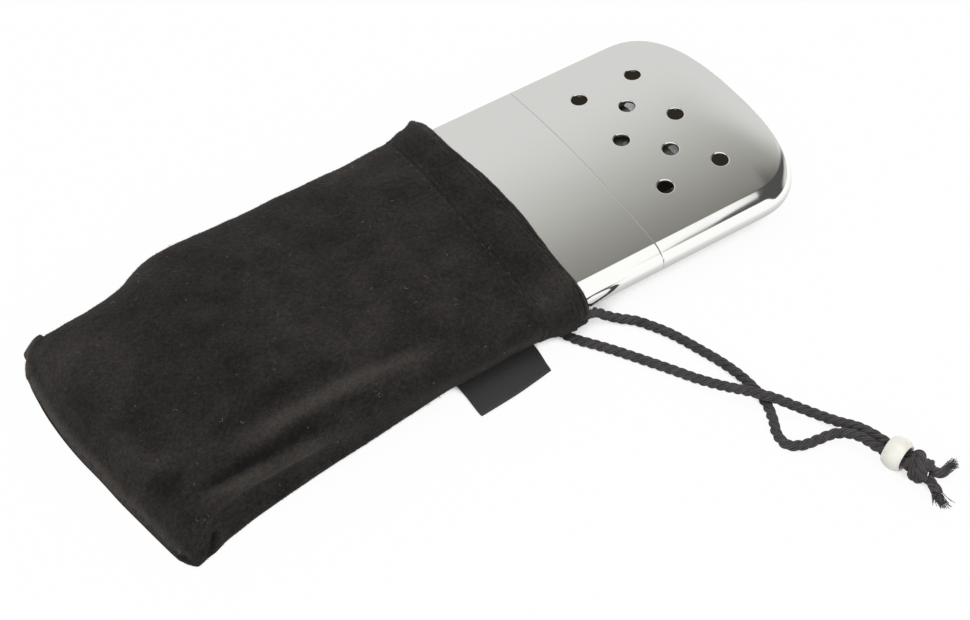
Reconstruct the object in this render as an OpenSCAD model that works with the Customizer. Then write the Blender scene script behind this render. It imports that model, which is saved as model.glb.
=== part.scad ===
// Catalytic hand warmer with its drawstring pouch.
// The warmer lies half drawn out of the pouch. X runs along the warmer towards the lid's
// rounded end, Y across it towards the far side, Z up. The origin is on the surface that the
// pouch lies on, under the warmer's centre line and the middle of the pouch.

/* [Warmer case] */
// Width of the case
case_w = 67; // [58:0.5:72]
// Thickness of the case at its middle
case_t = 12.7; // [11.5:0.1:13.5]
// Length of the tank, from the seam to its closed end
tank_l = 52.6; // [46:0.1:60]
// Length of the lid, from the seam to its closed end
lid_l = 46.4; // [42:0.1:60]
// Length of the rounded end of the lid and of the tank
end_l = 18.5; // [14:0.5:22]
// Squareness of the rounded end's outline, 2 is an ellipse
end_power = 2.6; // [2.2:0.1:4]
// Radius of the case's long edges
edge_r = 3.3; // [2.6:0.1:4.2]
// Thickness of the case's sheet metal
sheet = 0.5; // [0.4:0.05:0.7]
// Gap between the lid's rim and the tank's rim
seam_gap = 0.12; // [0.05:0.01:0.3]

/* [Vent holes] */
// Diameter of a vent hole
vent_d = 4; // [2:0.1:5]
// Distance between neighbouring holes across the lid
vent_pitch_y = 17.8; // [10:0.1:20]
// Distance between the rows of holes along the lid
vent_pitch_x = 7.8; // [5.5:0.1:9]
// Distance from the seam to the middle row of holes
vent_x = 19.3; // [16:0.1:22]

/* [Collar and filler neck] */
// Height of the collar that the lid slips over
collar_h = 5.5; // [4:0.1:6]
// Depth of the collar inside the tank
collar_grip = 4; // [3:0.1:6]
// Wall of the collar and of its end plate
collar_wall = 0.5; // [0.4:0.05:0.8]
// Width of the oval filler neck
neck_w = 25; // [18:0.5:30]
// Thickness of the oval filler neck
neck_t = 7.4; // [6:0.1:8]
// Wall of the filler neck
neck_wall = 0.45; // [0.3:0.05:0.8]
// Height of the filler neck above the collar's end plate
neck_h = 4.4; // [3:0.1:6]

/* [Burner] */
// Wall of the burner's sheet metal
burner_wall = 0.4; // [0.3:0.05:0.6]
// Length of the skirt that slips over the filler neck
skirt_l = 4.2; // [3:0.1:6]
// Length of the cage that holds the catalyst mat
cage_l = 10.2; // [8:0.1:14]
// How far the cage stands out past the skirt on each side
cage_lip = 0.5; // [0.2:0.1:0.8]
// Diameter of a burner hole
burner_hole_d = 2.2; // [1:0.1:2.6]
// Distance between burner holes
burner_pitch = 3.4; // [2.8:0.1:4]
// Burner holes in a row
burner_holes = 7; // [3:1:7]

/* [Pouch] */
// Thickness of one layer of the pouch's cloth
cloth = 1.2; // [1:0.1:1.6]
// Room between the case and the cloth all round
room = 0.3; // [0.3:0.1:1]
// Width of the hem that holds the drawcord
hem_l = 11; // [8:0.5:12]
// Thickness of the hem over the case
hem_t = 2.7; // [2.5:0.1:3.5]
// Length of a stitch
stitch_l = 2.2; // [1.5:0.1:3]
// Thickness of the sewing thread
thread = 0.4; // [0.3:0.05:0.6]
// Length of the woven label along the seam
label_l = 20.5; // [12:0.5:24]
// How far the woven label stands out of the seam
label_w = 8.4; // [5:0.1:12]
// Thickness of the folded label
label_t = 0.6; // [0.4:0.1:1]

/* [Drawcord and bead] */
// Diameter of the drawcord
cord_d = 2.4; // [1.8:0.1:2.4]
// Diameter of the bead
bead_d = 7.4; // [6.6:0.1:9]
// Diameter of the bead's bore
bead_bore = 5; // [4.9:0.1:5.4]
// Diameter of the knot
knot_d = 5.8; // [4.8:0.1:6.4]

/* [Hidden] */

$fn = 48;
chrome = [0.80, 0.80, 0.79];
steel = [0.62, 0.62, 0.62];
mat_grey = [0.72, 0.70, 0.66];
wool = [0.93, 0.92, 0.88];
velvet = [0.18, 0.165, 0.16];
cord_grey = [0.22, 0.21, 0.22];
thread_black = [0.12, 0.11, 0.11];
label_grey = [0.27, 0.27, 0.27];

// Where things stand
seam_x = 77;                                 // the seam between the tank and the lid
case_z = cloth + room + case_t / 2;          // the middle of the case's thickness
fit = 0.15;                                  // gap of a slip fit in the sheet metal
plate_x = seam_x + collar_h;                 // the outer face of the collar's end plate
skirt_x = plate_x + fit;
cage_x = skirt_x + skirt_l;

// Resolution of the faceted shapes
edge_steps = 4;
crown_steps = 5;
end_steps = 20;
crown_stop = 0.96;      // the flat cap starts where this share of the half width is left
cord_sides = 8;

// ---- The case's smooth pillow shape ----
// Its cross-section is an arc of radius r at each long edge and a wide crown arc between them.
// Level curves of one height are superellipses, so the rounded end has the same section.
function crown_radius(w, t, r) = ((w / 2 - r) ^ 2 + (t / 2) ^ 2 - r ^ 2) / (t - 2 * r);

// Levels from the outline inwards, each as [distance from the outline, height above the middle]
function case_levels(w, t, r) =
    let (
        big = crown_radius(w, t, r),
        join = acos((w / 2 - r) / (big - r)),
        join_d = r * (1 - cos(join)),
        last_d = w / 2 * crown_stop
    )
    concat(
        [for (i = [0:edge_steps]) let (a = join * i / edge_steps) [r * (1 - cos(a)), r * sin(a)]],
        [for (i = [1:crown_steps])
            let (d = join_d + (last_d - join_d) * i / crown_steps)
            [d, t / 2 - big + sqrt(big ^ 2 - (w / 2 - d) ^ 2)]]
    );

function signed_power(v, p) = sign(v) * abs(v) ^ p;

// One level curve, from the near side round the closed end to the far side
function level_curve(share, w, from_x, long, end) = concat(
    [[from_x, -w / 2 * share]],
    [for (i = [0:end_steps])
        let (a = -90 + 180 * i / end_steps)
        [long - end + end * share * abs(cos(a)) ^ (2 / end_power),
         w / 2 * share * signed_power(sin(a), 2 / end_power)]],
    [[from_x, w / 2 * share]]
);

// A half case: flat at from_x and closed by the rounded end at x = long
module half_case(w, t, r, long, end, from_x = 0) {
    up = case_levels(w, t, r);
    n_up = len(up);
    rows = [for (i = [n_up - 1:-1:1]) [up[i][0], -up[i][1]], for (i = [0:n_up - 1]) up[i]];
    n_row = len(rows);
    n_col = end_steps + 3;
    points = [for (row = rows)
        for (p = level_curve(1 - row[0] / (w / 2), w, from_x, long, end)) [p[0], p[1], row[1]]];
    function at(r, c) = r * n_col + c;
    polyhedron(points, concat(
        [for (r = [0:n_row - 2]) for (c = [0:n_col - 2]) [at(r, c), at(r + 1, c), at(r + 1, c + 1)]],
        [for (r = [0:n_row - 2]) for (c = [0:n_col - 2]) [at(r, c), at(r + 1, c + 1), at(r, c + 1)]],
        [[for (c = [0:n_col - 1]) at(0, c)]],
        [[for (c = [n_col - 1:-1:0]) at(n_row - 1, c)]],
        [concat([for (r = [n_row - 1:-1:0]) at(r, 0)], [for (r = [0:n_row - 1]) at(r, n_col - 1)])]
    ), convexity = 4);
}

// The case's cross-section, drawn in from its outside by a gap
module case_section(gap) {
    levels = case_levels(case_w - 2 * gap, case_t - 2 * gap, edge_r - gap);
    half = case_w / 2 - gap;
    side = [for (l = levels) [half - l[0], l[1]]];
    n = len(side);
    polygon(concat(
        [for (i = [0:n - 1]) side[i]],
        [for (i = [n - 1:-1:0]) [-side[i][0], side[i][1]]],
        [for (i = [1:n - 1]) [-side[i][0], -side[i][1]]],
        [for (i = [n - 1:-1:1]) [side[i][0], -side[i][1]]]
    ));
}

// Extrudes a drawing in Y and Z along X
module along_x(from_x, to_x) {
    translate([from_x, 0, case_z]) rotate([90, 0, 90]) linear_extrude(to_x - from_x) children();
}

module oval(w, t) {
    for (s = [-1, 1]) translate([s * (w - t) / 2, 0]) circle(d = t);
    square([w - t, t], center = true);
}

module oval_tube(w, t, wall) {
    difference() {
        oval(w, t);
        oval(w - 2 * wall, t - 2 * wall);
    }
}

module case_shell(long) {
    difference() {
        half_case(case_w, case_t, edge_r, long, end_l, 0);
        half_case(case_w - 2 * sheet, case_t - 2 * sheet, edge_r - sheet, long - sheet,
                  end_l - sheet, -1);
    }
}

module tank_shell() {
    color(chrome) translate([seam_x, 0, case_z]) mirror([1, 0, 0]) case_shell(tank_l);
}

// Places of the vent holes: rows of three, two and three, staggered
function vent_places() = [for (row = [-1:1])
    for (i = row == 0 ? [-0.5, 0.5] : [-1, 0, 1])
        [seam_x + vent_x + row * vent_pitch_x, i * vent_pitch_y]];

module lid_shell() {
    color(chrome) difference() {
        translate([seam_x + seam_gap, 0, case_z]) case_shell(lid_l - seam_gap);
        for (p = vent_places())
            translate([p[0], p[1], case_z]) cylinder(h = case_t + 2, d = vent_d, center = true);
    }
}

// The recessed collar and the plate that closes the tank
module tank_collar() {
    neck_hole_w = neck_w + 2 * fit;
    neck_hole_t = neck_t + 2 * fit;
    color(steel) difference() {
        along_x(seam_x - collar_grip, plate_x) case_section(sheet + fit);
        along_x(seam_x - collar_grip - 1, plate_x - collar_wall) case_section(sheet + fit + collar_wall);
        along_x(plate_x - 2 * collar_wall, plate_x + 1) oval(neck_hole_w, neck_hole_t);
    }
}

module filler_neck() {
    flange = 1.2;
    flange_t = 0.4;
    seat = 0.05;                    // the flange lies this far under the plate
    under = plate_x - collar_wall - seat;
    color(steel) {
        along_x(under, plate_x + neck_h) oval_tube(neck_w, neck_t, neck_wall);
        along_x(under - flange_t, under) difference() {
            oval(neck_w + 2 * flange, neck_t + 2 * flange);
            oval(neck_w - 2 * neck_wall, neck_t - 2 * neck_wall);
        }
    }
}

// The felt plug in the foot of the neck, which draws the fuel up to the burner
felt_sunk = 0.2;
felt_foot = 1;
felt_top_x = plate_x - felt_sunk;
felt_foot_x = seam_x - felt_foot;

module neck_felt() {
    color(wool) along_x(felt_foot_x, felt_top_x)
        oval(neck_w - 2 * neck_wall - 2 * fit, neck_t - 2 * neck_wall - 2 * fit);
}

module fuel_wadding() {
    gap = sheet + room;
    below_collar = collar_grip + room;
    color(wool) translate([seam_x, 0, case_z]) mirror([1, 0, 0])
        half_case(case_w - 2 * gap, case_t - 2 * gap, edge_r - gap, tank_l - gap,
                  end_l - gap, below_collar);
    color(wool) along_x(seam_x - below_collar, felt_foot_x)
        oval(neck_w - 2 * fit, neck_t);
}

skirt_in_w = neck_w + 2 * fit;
skirt_in_t = neck_t + 2 * fit;

module burner_skirt() {
    color(steel) along_x(skirt_x, cage_x)
        oval_tube(skirt_in_w + 2 * burner_wall, skirt_in_t + 2 * burner_wall, burner_wall);
}

cage_out_w = skirt_in_w + 2 * burner_wall + 2 * cage_lip;
cage_out_t = skirt_in_t + 2 * burner_wall + cage_lip;

module burner_cage() {
    hole_rows = [-1, 1];
    row_gap = 3.6;
    color(steel) difference() {
        along_x(cage_x, cage_x + cage_l) oval(cage_out_w, cage_out_t);
        along_x(cage_x + burner_wall, cage_x + cage_l - burner_wall)
            oval(cage_out_w - 2 * burner_wall, cage_out_t - 2 * burner_wall);
        along_x(cage_x - 1, cage_x + 1) oval(skirt_in_w, skirt_in_t);
        for (i = [0:burner_holes - 1]) for (row = hole_rows)
            translate([cage_x + cage_l / 2 + row * row_gap / 2,
                       (i - (burner_holes - 1) / 2) * burner_pitch, case_z])
                cylinder(h = cage_out_t + 1, d = burner_hole_d, center = true, $fn = 24);
    }
}

module catalyst_mat() {
    mat_room = 0.2;
    gap = burner_wall + mat_room;
    color(mat_grey) along_x(cage_x + gap, cage_x + cage_l - gap)
        oval(cage_out_w - 2 * gap, cage_out_t - 2 * gap);
}

// ---- The pouch ----
// Each station is [x, near half width, far half width, height of its top, how much of the
// bottom end's slant it takes], all over the outside of the cloth. The cavity follows them
// one cloth further in and clears the case over its whole travel.
case_top = case_z + case_t / 2;
side_room = case_w / 2 + 2 * room + cloth;
over_case = case_top + room + cloth;
hem_x = 44.5;
mouth_x = hem_x + hem_l;
stations = [
    [hem_x, side_room + 0.6, side_room + 1.7, over_case, 0],
    [34, side_room, side_room + 0.8, over_case, 0],
    [20, side_room, side_room + 0.2, over_case, 0],
    [0, side_room, side_room, over_case, 0],
    [-20, side_room, side_room, over_case, 0.1],
    [-32, side_room + 0.7, side_room - 0.5, over_case - 0.2, 0.35],
    [-40, side_room + 2, side_room - 2.6, over_case - 1.5, 0.6],
    [-46, side_room + 2.8, side_room - 4.4, over_case - 5, 0.8],
    [-51, side_room + 2.6, side_room - 5.6, over_case - 8.6, 0.92],
    [-55, side_room + 1.4, side_room - 6.8, over_case - 11.6, 1],
    [-57.2, side_room + 0.6, side_room - 7.4, over_case - 13.2, 1]
];
section_power = 3;      // squareness of the arch over the case
side_power = 8;         // squareness of the sides down to the lower panel
side_reach = 1.33;      // the sides' curve would close this many side heights down
arch_steps = 16;

// The bottom end is sewn on a slight curve, furthest out towards the far side
end_curve = 0.0029;
end_peak_y = 12;
function end_slant(y) = end_curve * (y - end_peak_y) ^ 2;

// The widest level of a section, at this share of the height from its foot to its top
girth_share = 0.4;
function girth_z(top) = cloth + girth_share * (top - cloth);

// One section of the pouch as [y, z] from the near foot over the top to the far foot
function pouch_section(near, far, top) =
    let (
        mid = girth_z(top),
        side = [for (i = [0:2]) let (z = cloth + (mid - cloth) * i / 3)
            [(1 - ((mid - z) / (side_reach * (mid - cloth))) ^ side_power) ^ (1 / side_power), z]]
    )
    concat(
        [for (s = side) [-near * s[0], s[1]]],
        [for (i = [0:arch_steps])
            let (a = 180 * i / arch_steps, c = -signed_power(cos(a), 2 / section_power))
            [c * (c < 0 ? near : far), mid + (top - mid) * sin(a) ^ (2 / section_power)]],
        [for (i = [2:-1:0]) [far * side[i][0], side[i][1]]]
    );

// A shell between two sections at each station: outer and inner points in pairs
module arch_shell(outer, inner) {
    n = len(outer[0]);
    m = len(outer);
    function out_at(r, c) = r * n + c;
    function in_at(r, c) = (m + r) * n + c;
    steps = [0:n - 2];
    spans = [0:m - 2];
    polyhedron(concat([for (row = outer) each row], [for (row = inner) each row]), concat(
        [for (r = spans) for (c = steps) [out_at(r, c), out_at(r + 1, c), out_at(r + 1, c + 1)]],
        [for (r = spans) for (c = steps) [out_at(r, c), out_at(r + 1, c + 1), out_at(r, c + 1)]],
        [for (r = spans) for (c = steps) [in_at(r, c), in_at(r + 1, c + 1), in_at(r + 1, c)]],
        [for (r = spans) for (c = steps) [in_at(r, c), in_at(r, c + 1), in_at(r + 1, c + 1)]],
        [for (r = spans) [out_at(r, 0), in_at(r, 0), in_at(r + 1, 0)]],
        [for (r = spans) [out_at(r, 0), in_at(r + 1, 0), out_at(r + 1, 0)]],
        [for (r = spans) [out_at(r, n - 1), in_at(r + 1, n - 1), in_at(r, n - 1)]],
        [for (r = spans) [out_at(r, n - 1), out_at(r + 1, n - 1), in_at(r + 1, n - 1)]],
        [for (c = steps) [out_at(0, c), out_at(0, c + 1), in_at(0, c + 1)]],
        [for (c = steps) [out_at(0, c), in_at(0, c + 1), in_at(0, c)]],
        [for (c = steps) [out_at(m - 1, c), in_at(m - 1, c + 1), out_at(m - 1, c + 1)]],
        [for (c = steps) [out_at(m - 1, c), in_at(m - 1, c), in_at(m - 1, c + 1)]]
    ), convexity = 6);
}

// A section of the pouch at x, with its share of the bottom end's slant
function placed_section(x, slant, near, far, top) =
    [for (p = pouch_section(near, far, top)) [x + slant * end_slant(p[0]), p[0], p[1]]];

module pouch_upper_panel() {
    least_top = cloth + 0.1;        // the cavity runs out flat at the bottom seam
    color(velvet) arch_shell(
        [for (s = stations) placed_section(s[0], s[4], s[1], s[2], s[3])],
        [for (s = stations) placed_section(s[0], s[4], s[1] - cloth, s[2] - cloth,
                                           max(s[3] - cloth, least_top))]
    );
}

// Outline of the lower panel on the surface that it lies on
lower_outline = [
    [hem_x - 0.1, -34], [20, -34], [-5, -34.4], [-20, -36], [-32, -38], [-40, -40],
    [-45, -41.4], [-48, -40.6], [-50, -37], [-52, -27], [-54, -17], [-56, -3],
    [-57, 8], [-57, 17], [-56, 25], [-53.6, 28.4], [-46, 31], [-36, 33],
    [-24, 34.4], [-10, 34.6], [10, 34.6], [30, 34.8], [hem_x - 0.1, 35.4]
];

module pouch_lower_panel() {
    color(velvet) linear_extrude(cloth) polygon(lower_outline);
}

// ---- The drawcord ----
// A flat or round cord swept along its own points. Each is [x, y, z, width, height].
function place(row) = [row[0], row[1], row[2]];
function unit(v) = v / norm(v);
function heading(path, i) =
    unit(place(path[min(i + 1, len(path) - 1)]) - place(path[max(i - 1, 0)]));

// Carries the sideways direction along the path without twist
function sideways(path, start, i = 0) = i == len(path) ? [] :
    let (t = heading(path, i), side = unit(start - (start * t) * t))
    concat([side], sideways(path, side, i + 1));

module sweep_cord(path, start) {
    side = sideways(path, start);
    n = len(path);
    points = [for (i = [0:n - 1])
        let (up = cross(heading(path, i), side[i]))
        for (k = [0:cord_sides - 1])
            let (a = 360 * (k + 0.5) / cord_sides)
            place(path[i]) + side[i] * path[i][3] / 2 * cos(a)
                + up * path[i][4] / 2 * sin(a)];
    polyhedron(points, concat(
        [for (i = [0:n - 2]) for (k = [0:cord_sides - 1])
            [i * cord_sides + k, i * cord_sides + (k + 1) % cord_sides,
             (i + 1) * cord_sides + (k + 1) % cord_sides]],
        [for (i = [0:n - 2]) for (k = [0:cord_sides - 1])
            [i * cord_sides + k, (i + 1) * cord_sides + (k + 1) % cord_sides,
             (i + 1) * cord_sides + k]],
        [[for (k = [cord_sides - 1:-1:0]) k]],
        [[for (k = [0:cord_sides - 1]) (n - 1) * cord_sides + k]]
    ), convexity = 6);
}

// Inside the hem: up from the near side, over the case, down and back under it
cord_x = 50;
d = cord_d;                     // a short name for the point lists
hidden_path = [
    [cord_x, -36.2, 7.4, d, d - 0.6], [cord_x, -35.7, 9.4, d, d - 0.6],
    [cord_x, -34.4, 11.6, d + 0.3, d - 0.7], [cord_x, -31.4, 13.4, d + 0.4, d - 0.9],
    [cord_x, -26.5, 14.7, d + 0.4, d - 0.9], [cord_x, -20, 15.4, d + 0.4, d - 0.9],
    [cord_x, -10, 15.8, d + 0.4, d - 0.9], [cord_x, 0, 15.85, d + 0.4, d - 0.9],
    [cord_x, 10, 15.8, d + 0.4, d - 0.9], [cord_x, 20, 15.5, d + 0.4, d - 0.9],
    [cord_x, 27.5, 14.8, d + 0.4, d - 0.9], [cord_x, 32.6, 13.5, d + 0.4, d - 0.9],
    [cord_x, 35.6, 11.6, d + 0.3, d - 0.7], [cord_x, 37, 9.2, d, d - 0.6],
    [cord_x, 37.4, 6.4, d, d - 0.6], [cord_x, 37, 4, d, d - 0.6],
    [cord_x, 35.8, 2.2, d + 0.2, d - 1], [cord_x, 33.4, 0.95, d + 0.8, 0.9],
    [cord_x, 30, 0.6, d + 1.1, 0.5], [cord_x, 20, 0.6, d + 1.1, 0.5],
    [cord_x, 0, 0.6, d + 1.1, 0.5], [cord_x, -20, 0.6, d + 1.1, 0.5],
    [cord_x, -29, 0.6, d + 1.1, 0.5]
];

// The upper leg comes down from the hem's near end, out under the case's edge, dips away
// from the lower leg and joins it again before the bead
upper_leg_path = [
    [50, -36.2, 7.3, d, d], [50.3, -36.3, 5.6, d, d], [51.4, -36, 4, d, d],
    [53.4, -35, 2.9, d, d], [56, -33.4, 2.3, d, d], [58.6, -32.4, 1.9, d, d],
    [61.2, -32.7, 1.5, d, d], [63.8, -34.4, 1.3, d, d], [66.4, -38, 1.25, d, d],
    [69, -44, 1.25, d, d], [71, -51.4, 1.25, d, d], [72.7, -58.6, 1.25, d, d],
    [74.1, -65, 1.25, d, d], [75, -70.8, 1.25, d, d], [74.6, -75.4, 1.25, d, d],
    [72.8, -79.4, 1.25, d, d], [71.6, -82.6, 1.25, d, d], [72, -85.6, 1.25, d, d],
    [74.6, -87.6, 1.3, d, d], [78.2, -88.5, 1.6, d, d], [81.4, -89.6, 2.4, d, d],
    [83.6, -91.8, 3.3, d, d], [84.8, -94, 3.7, d, d], [86, -98, 3.7, d, d],
    [87.2, -101.8, 3.7, d, d], [88.4, -105.8, 3.6, d, d]
];

// The lower leg comes out of the hem's foot, and passes over the upper leg where they cross
lower_leg_path = [
    [50, -29.2, 0.6, d + 1.1, 0.5], [50.1, -31.6, 0.65, d + 0.8, 0.6],
    [50.6, -34, 0.9, d + 0.3, 1.2], [51.7, -36.4, 1.2, d, d], [53.4, -38.8, 1.25, d, d],
    [55.6, -41.9, 1.25, d, d], [59.9, -48.6, 1.25, d, d], [63.7, -54.8, 1.25, d, d],
    [67.2, -61, 1.5, d, d], [70.2, -66.4, 2.5, d, d], [72.6, -70.4, 3.5, d, d],
    [74.4, -73, 3.8, d, d], [76.6, -75.8, 3.5, d, d], [79, -78.6, 2.5, d, d],
    [81.4, -81.6, 1.6, d, d], [83.4, -84.8, 1.4, d, d], [85, -88, 1.9, d, d],
    [86.2, -91, 3, d, d], [87.1, -94, 3.7, d, d], [88.3, -98, 3.7, d, d],
    [89.5, -101.8, 3.7, d, d], [90.7, -105.8, 3.6, d, d]
];

bead_at = [88.35, -101.8, 3.7];
bead_axis = [1.2, -4, 0];        // the direction of the two legs through the bead
knot_at = [90.2, -107.9, 3];

tail_right_path = [
    [91.6, -108.6, 2.6, d, d], [93.4, -109.8, 2, d, d], [95.4, -110, 1.7, d + 0.4, d],
    [97.4, -109.4, 1.5, d + 1.4, d - 0.4]
];
tail_down_path = [
    [90, -109.6, 2.5, d, d], [90.2, -111.6, 1.9, d, d], [89.8, -113.4, 1.6, d + 1.2, d],
    [88.9, -115.2, 1.4, d + 3.4, d - 0.4]
];

module drawcord_in_hem() {
    color(cord_grey) sweep_cord(hidden_path, [1, 0, 0]);
}

module drawcord_upper_leg() {
    color(cord_grey) sweep_cord(upper_leg_path, [1, 0, 0]);
}

module drawcord_lower_leg() {
    color(cord_grey) sweep_cord(lower_leg_path, [1, 0, 0]);
}

module cord_tail_right() {
    color(cord_grey) sweep_cord(tail_right_path, [0, 1, 0]);
}

module cord_tail_down() {
    color(cord_grey) sweep_cord(tail_down_path, [1, 0, 0]);
}

// Turns what lies along +Z to lie along the legs through the bead
module along_legs() {
    rotate([0, 90, atan2(bead_axis[1], bead_axis[0])]) children();
}

module cord_bead() {
    color("white") translate(bead_at) along_legs() rotate_extrude($fn = 64) difference() {
        circle(d = bead_d);
        translate([-bead_d, -bead_d]) square([bead_d + bead_bore / 2, 2 * bead_d]);
    }
}

// Turns of cord drawn tight around the two legs
module stopper_knot() {
    turns = 3;
    turn_r = (knot_d - cord_d) / 2;
    rise = cord_d * 0.72;
    color(cord_grey) translate(knot_at) along_legs() rotate_extrude($fn = 32) {
        for (i = [0:turns - 1])
            translate([turn_r, (i - (turns - 1) / 2) * rise]) circle(d = cord_d, $fn = 20);
        translate([0, -(turns - 1) / 2 * rise - cord_d / 4])
            square([turn_r, (turns - 1) * rise + cord_d / 2]);
    }
}

// ---- The hem around the mouth ----
hem_skin = 0.4;                 // cloth on each side of the drawcord's channel
channel_w = cord_d + 2.2;
near_hem = side_room + 2.8;
far_hem = side_room + 4.7;
exit_room = 0.4;
exit_x = cord_x - cord_d / 2 - exit_room;
exit_top = 7.2;                 // both legs leave the casing below this height
butt = 0.1;                     // gap between the casing and the panels it is sewn to

// A point part of the way, in millimetres, from one section point to its partner
function stepped(from, to, by) = from + by * unit(to - from);

// The hem over the case: a folded casing around the drawcord's channel
module hem_casing_upper() {
    inner_half = side_room - cloth;
    outer = pouch_section(near_hem, far_hem, case_top + room + hem_t);
    inner = pouch_section(inner_half, inner_half, case_top + room);
    n = len(outer);
    walls = [for (i = [0:n - 1])
        let (o = outer[i], q = inner[i],
             po = stepped(o, q, hem_skin), pq = stepped(q, o, hem_skin),
             c0 = cord_x - channel_w / 2, c1 = cord_x + channel_w / 2)
        [[hem_x + butt, o[0], o[1]], [mouth_x, o[0], o[1]], [mouth_x, q[0], q[1]],
         [hem_x + butt, q[0], q[1]],
         [c0, po[0], po[1]], [c1, po[0], po[1]], [c1, pq[0], pq[1]], [c0, pq[0], pq[1]]]];
    function at(i, k) = i * 8 + k;
    color(velvet) difference() {
        polyhedron([for (w = walls) each w], concat(
            [for (i = [0:n - 2]) for (k = [0:3]) let (l = (k + 1) % 4)
                each [[at(i, k), at(i + 1, k), at(i + 1, l)], [at(i, k), at(i + 1, l), at(i, l)]]],
            [for (i = [0:n - 2]) for (k = [0:3]) let (l = (k + 1) % 4)
                each [[at(i, k + 4), at(i + 1, l + 4), at(i + 1, k + 4)],
                      [at(i, k + 4), at(i, l + 4), at(i + 1, l + 4)]]],
            [for (k = [0:3]) let (l = (k + 1) % 4)
                each [[at(0, k), at(0, l), at(0, l + 4)], [at(0, k), at(0, l + 4), at(0, k + 4)]]],
            [for (k = [0:3]) let (l = (k + 1) % 4)
                each [[at(n - 1, k), at(n - 1, l + 4), at(n - 1, l)],
                      [at(n - 1, k), at(n - 1, k + 4), at(n - 1, l + 4)]]]
        ), convexity = 8);
        // the casing's open near end, where both legs come out
        translate([exit_x, -near_hem - 1, 0]) cube([mouth_x - exit_x + 1, near_hem, exit_top]);
    }
}

module hem_casing_lower() {
    near_foot = 36.6;
    far_foot = 38.4;
    channel_h = 0.7;
    near_open = 33.2;           // the lower leg comes out past this
    leg_room = 1.3;
    far_open = 31.6;
    far_skin = 0.8;
    color(velvet) difference() {
        translate([hem_x, -near_foot, 0]) cube([hem_l, near_foot + far_foot, cloth]);
        translate([cord_x - channel_w / 2, -near_foot - 1, (cloth - channel_h) / 2])
            cube([channel_w, near_foot + far_foot, channel_h]);
        translate([exit_x, -near_foot - 1, -1])
            cube([cord_d + 2 * leg_room, near_foot + 1 - near_open, cloth + 2]);
        translate([cord_x - channel_w / 2, far_open, (cloth - channel_h) / 2])
            cube([channel_w, far_foot - far_open - far_skin, cloth]);
    }
}

// ---- Sewing and label ----
stitch_out = 0.12;              // how far a stitch stands off the cloth

module stitch(at, turn) {
    translate(at) rotate(turn) cube([thread, stitch_l, thread], center = true);
}

// Height of the outside of a section over y
function arch_z(y, near, far, top) =
    let (mid = girth_z(top), half = y < 0 ? near : far)
    mid + (top - mid) * (1 - (abs(y) / half) ^ section_power) ^ (1 / section_power);

module hem_stitches() {
    pitch = 3.4;
    count = 9;
    hem_in = 1.2;
    s = stations[0];
    color(thread_black) for (i = [-count:count]) {
        y = i * pitch;
        z = arch_z(y, s[1], s[2], s[3]);
        slope = arch_z(y + 0.5, s[1], s[2], s[3]) - arch_z(y - 0.5, s[1], s[2], s[3]);
        stitch([hem_x - hem_in, y, z + thread / 2 + stitch_out], [atan(slope), 0, 0]);
    }
}

module end_seam_stitches() {
    pitch = 3.6;
    seam_z = cloth + 0.4;
    end_x = stations[len(stations) - 1][0] - thread / 2 + 0.03;
    color(thread_black) for (i = [-8:6]) {
        y = i * pitch;
        turn = atan(end_slant(y - 0.5) - end_slant(y + 0.5));
        stitch([end_x + end_slant(y), y, seam_z], [0, 0, turn]);
    }
}

// Along both long sides, where the two panels are sewn together
module side_seam_stitches() {
    pitch = 4.6;
    first_x = 40;
    seam_z = cloth + 0.6;
    near_count = 9;
    near_y = -(side_room + thread / 2);
    color(thread_black) {
        for (i = [0:near_count - 1]) stitch([first_x - i * pitch, near_y, seam_z], [0, 0, 90]);
        for (i = [0:13]) let (flare = i < 3 ? 1.2 : 0.36)
            stitch([first_x - i * pitch, flare - near_y, seam_z], [0, 0, 90]);
    }
}

label_x = 22.4;
label_y = -34.1;
label_z = 0.15;

module woven_label() {
    skew = 1.2;
    short = 2;
    color(label_grey) translate([label_x, label_y, label_z]) linear_extrude(label_t)
        polygon([[0, 0], [0, -label_w], [label_l - skew, short - label_w], [label_l, 0]]);
}

module label_stitches() {
    count = 6;
    y = label_y - 0.8;
    z = label_z + label_t + thread / 2;
    color(thread_black) for (i = [0:count - 1])
        stitch([label_x + label_l * (i + 0.5) / count, y, z], [0, 0, 90]);
}

tank_shell();
tank_collar();
filler_neck();
neck_felt();
fuel_wadding();
lid_shell();
burner_skirt();
burner_cage();
catalyst_mat();
pouch_upper_panel();
pouch_lower_panel();
hem_casing_upper();
hem_casing_lower();
hem_stitches();
end_seam_stitches();
side_seam_stitches();
woven_label();
label_stitches();
drawcord_in_hem();
drawcord_upper_leg();
drawcord_lower_leg();
cord_bead();
stopper_knot();
cord_tail_right();
cord_tail_down();
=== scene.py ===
"""Looks of a catalytic hand warmer that lies half drawn out of its drawstring pouch.

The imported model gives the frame. Sizes are in millimetres in that frame: X runs along the
warmer to the lid's rounded end, Y to the far side, Z up. Meshes are written in metres.
"""

import logging
import math
from dataclasses import dataclass, field
from enum import Enum

import bpy
import numpy as np
from mathutils import Matrix, Vector
from mathutils.geometry import delaunay_2d_cdt

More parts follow.
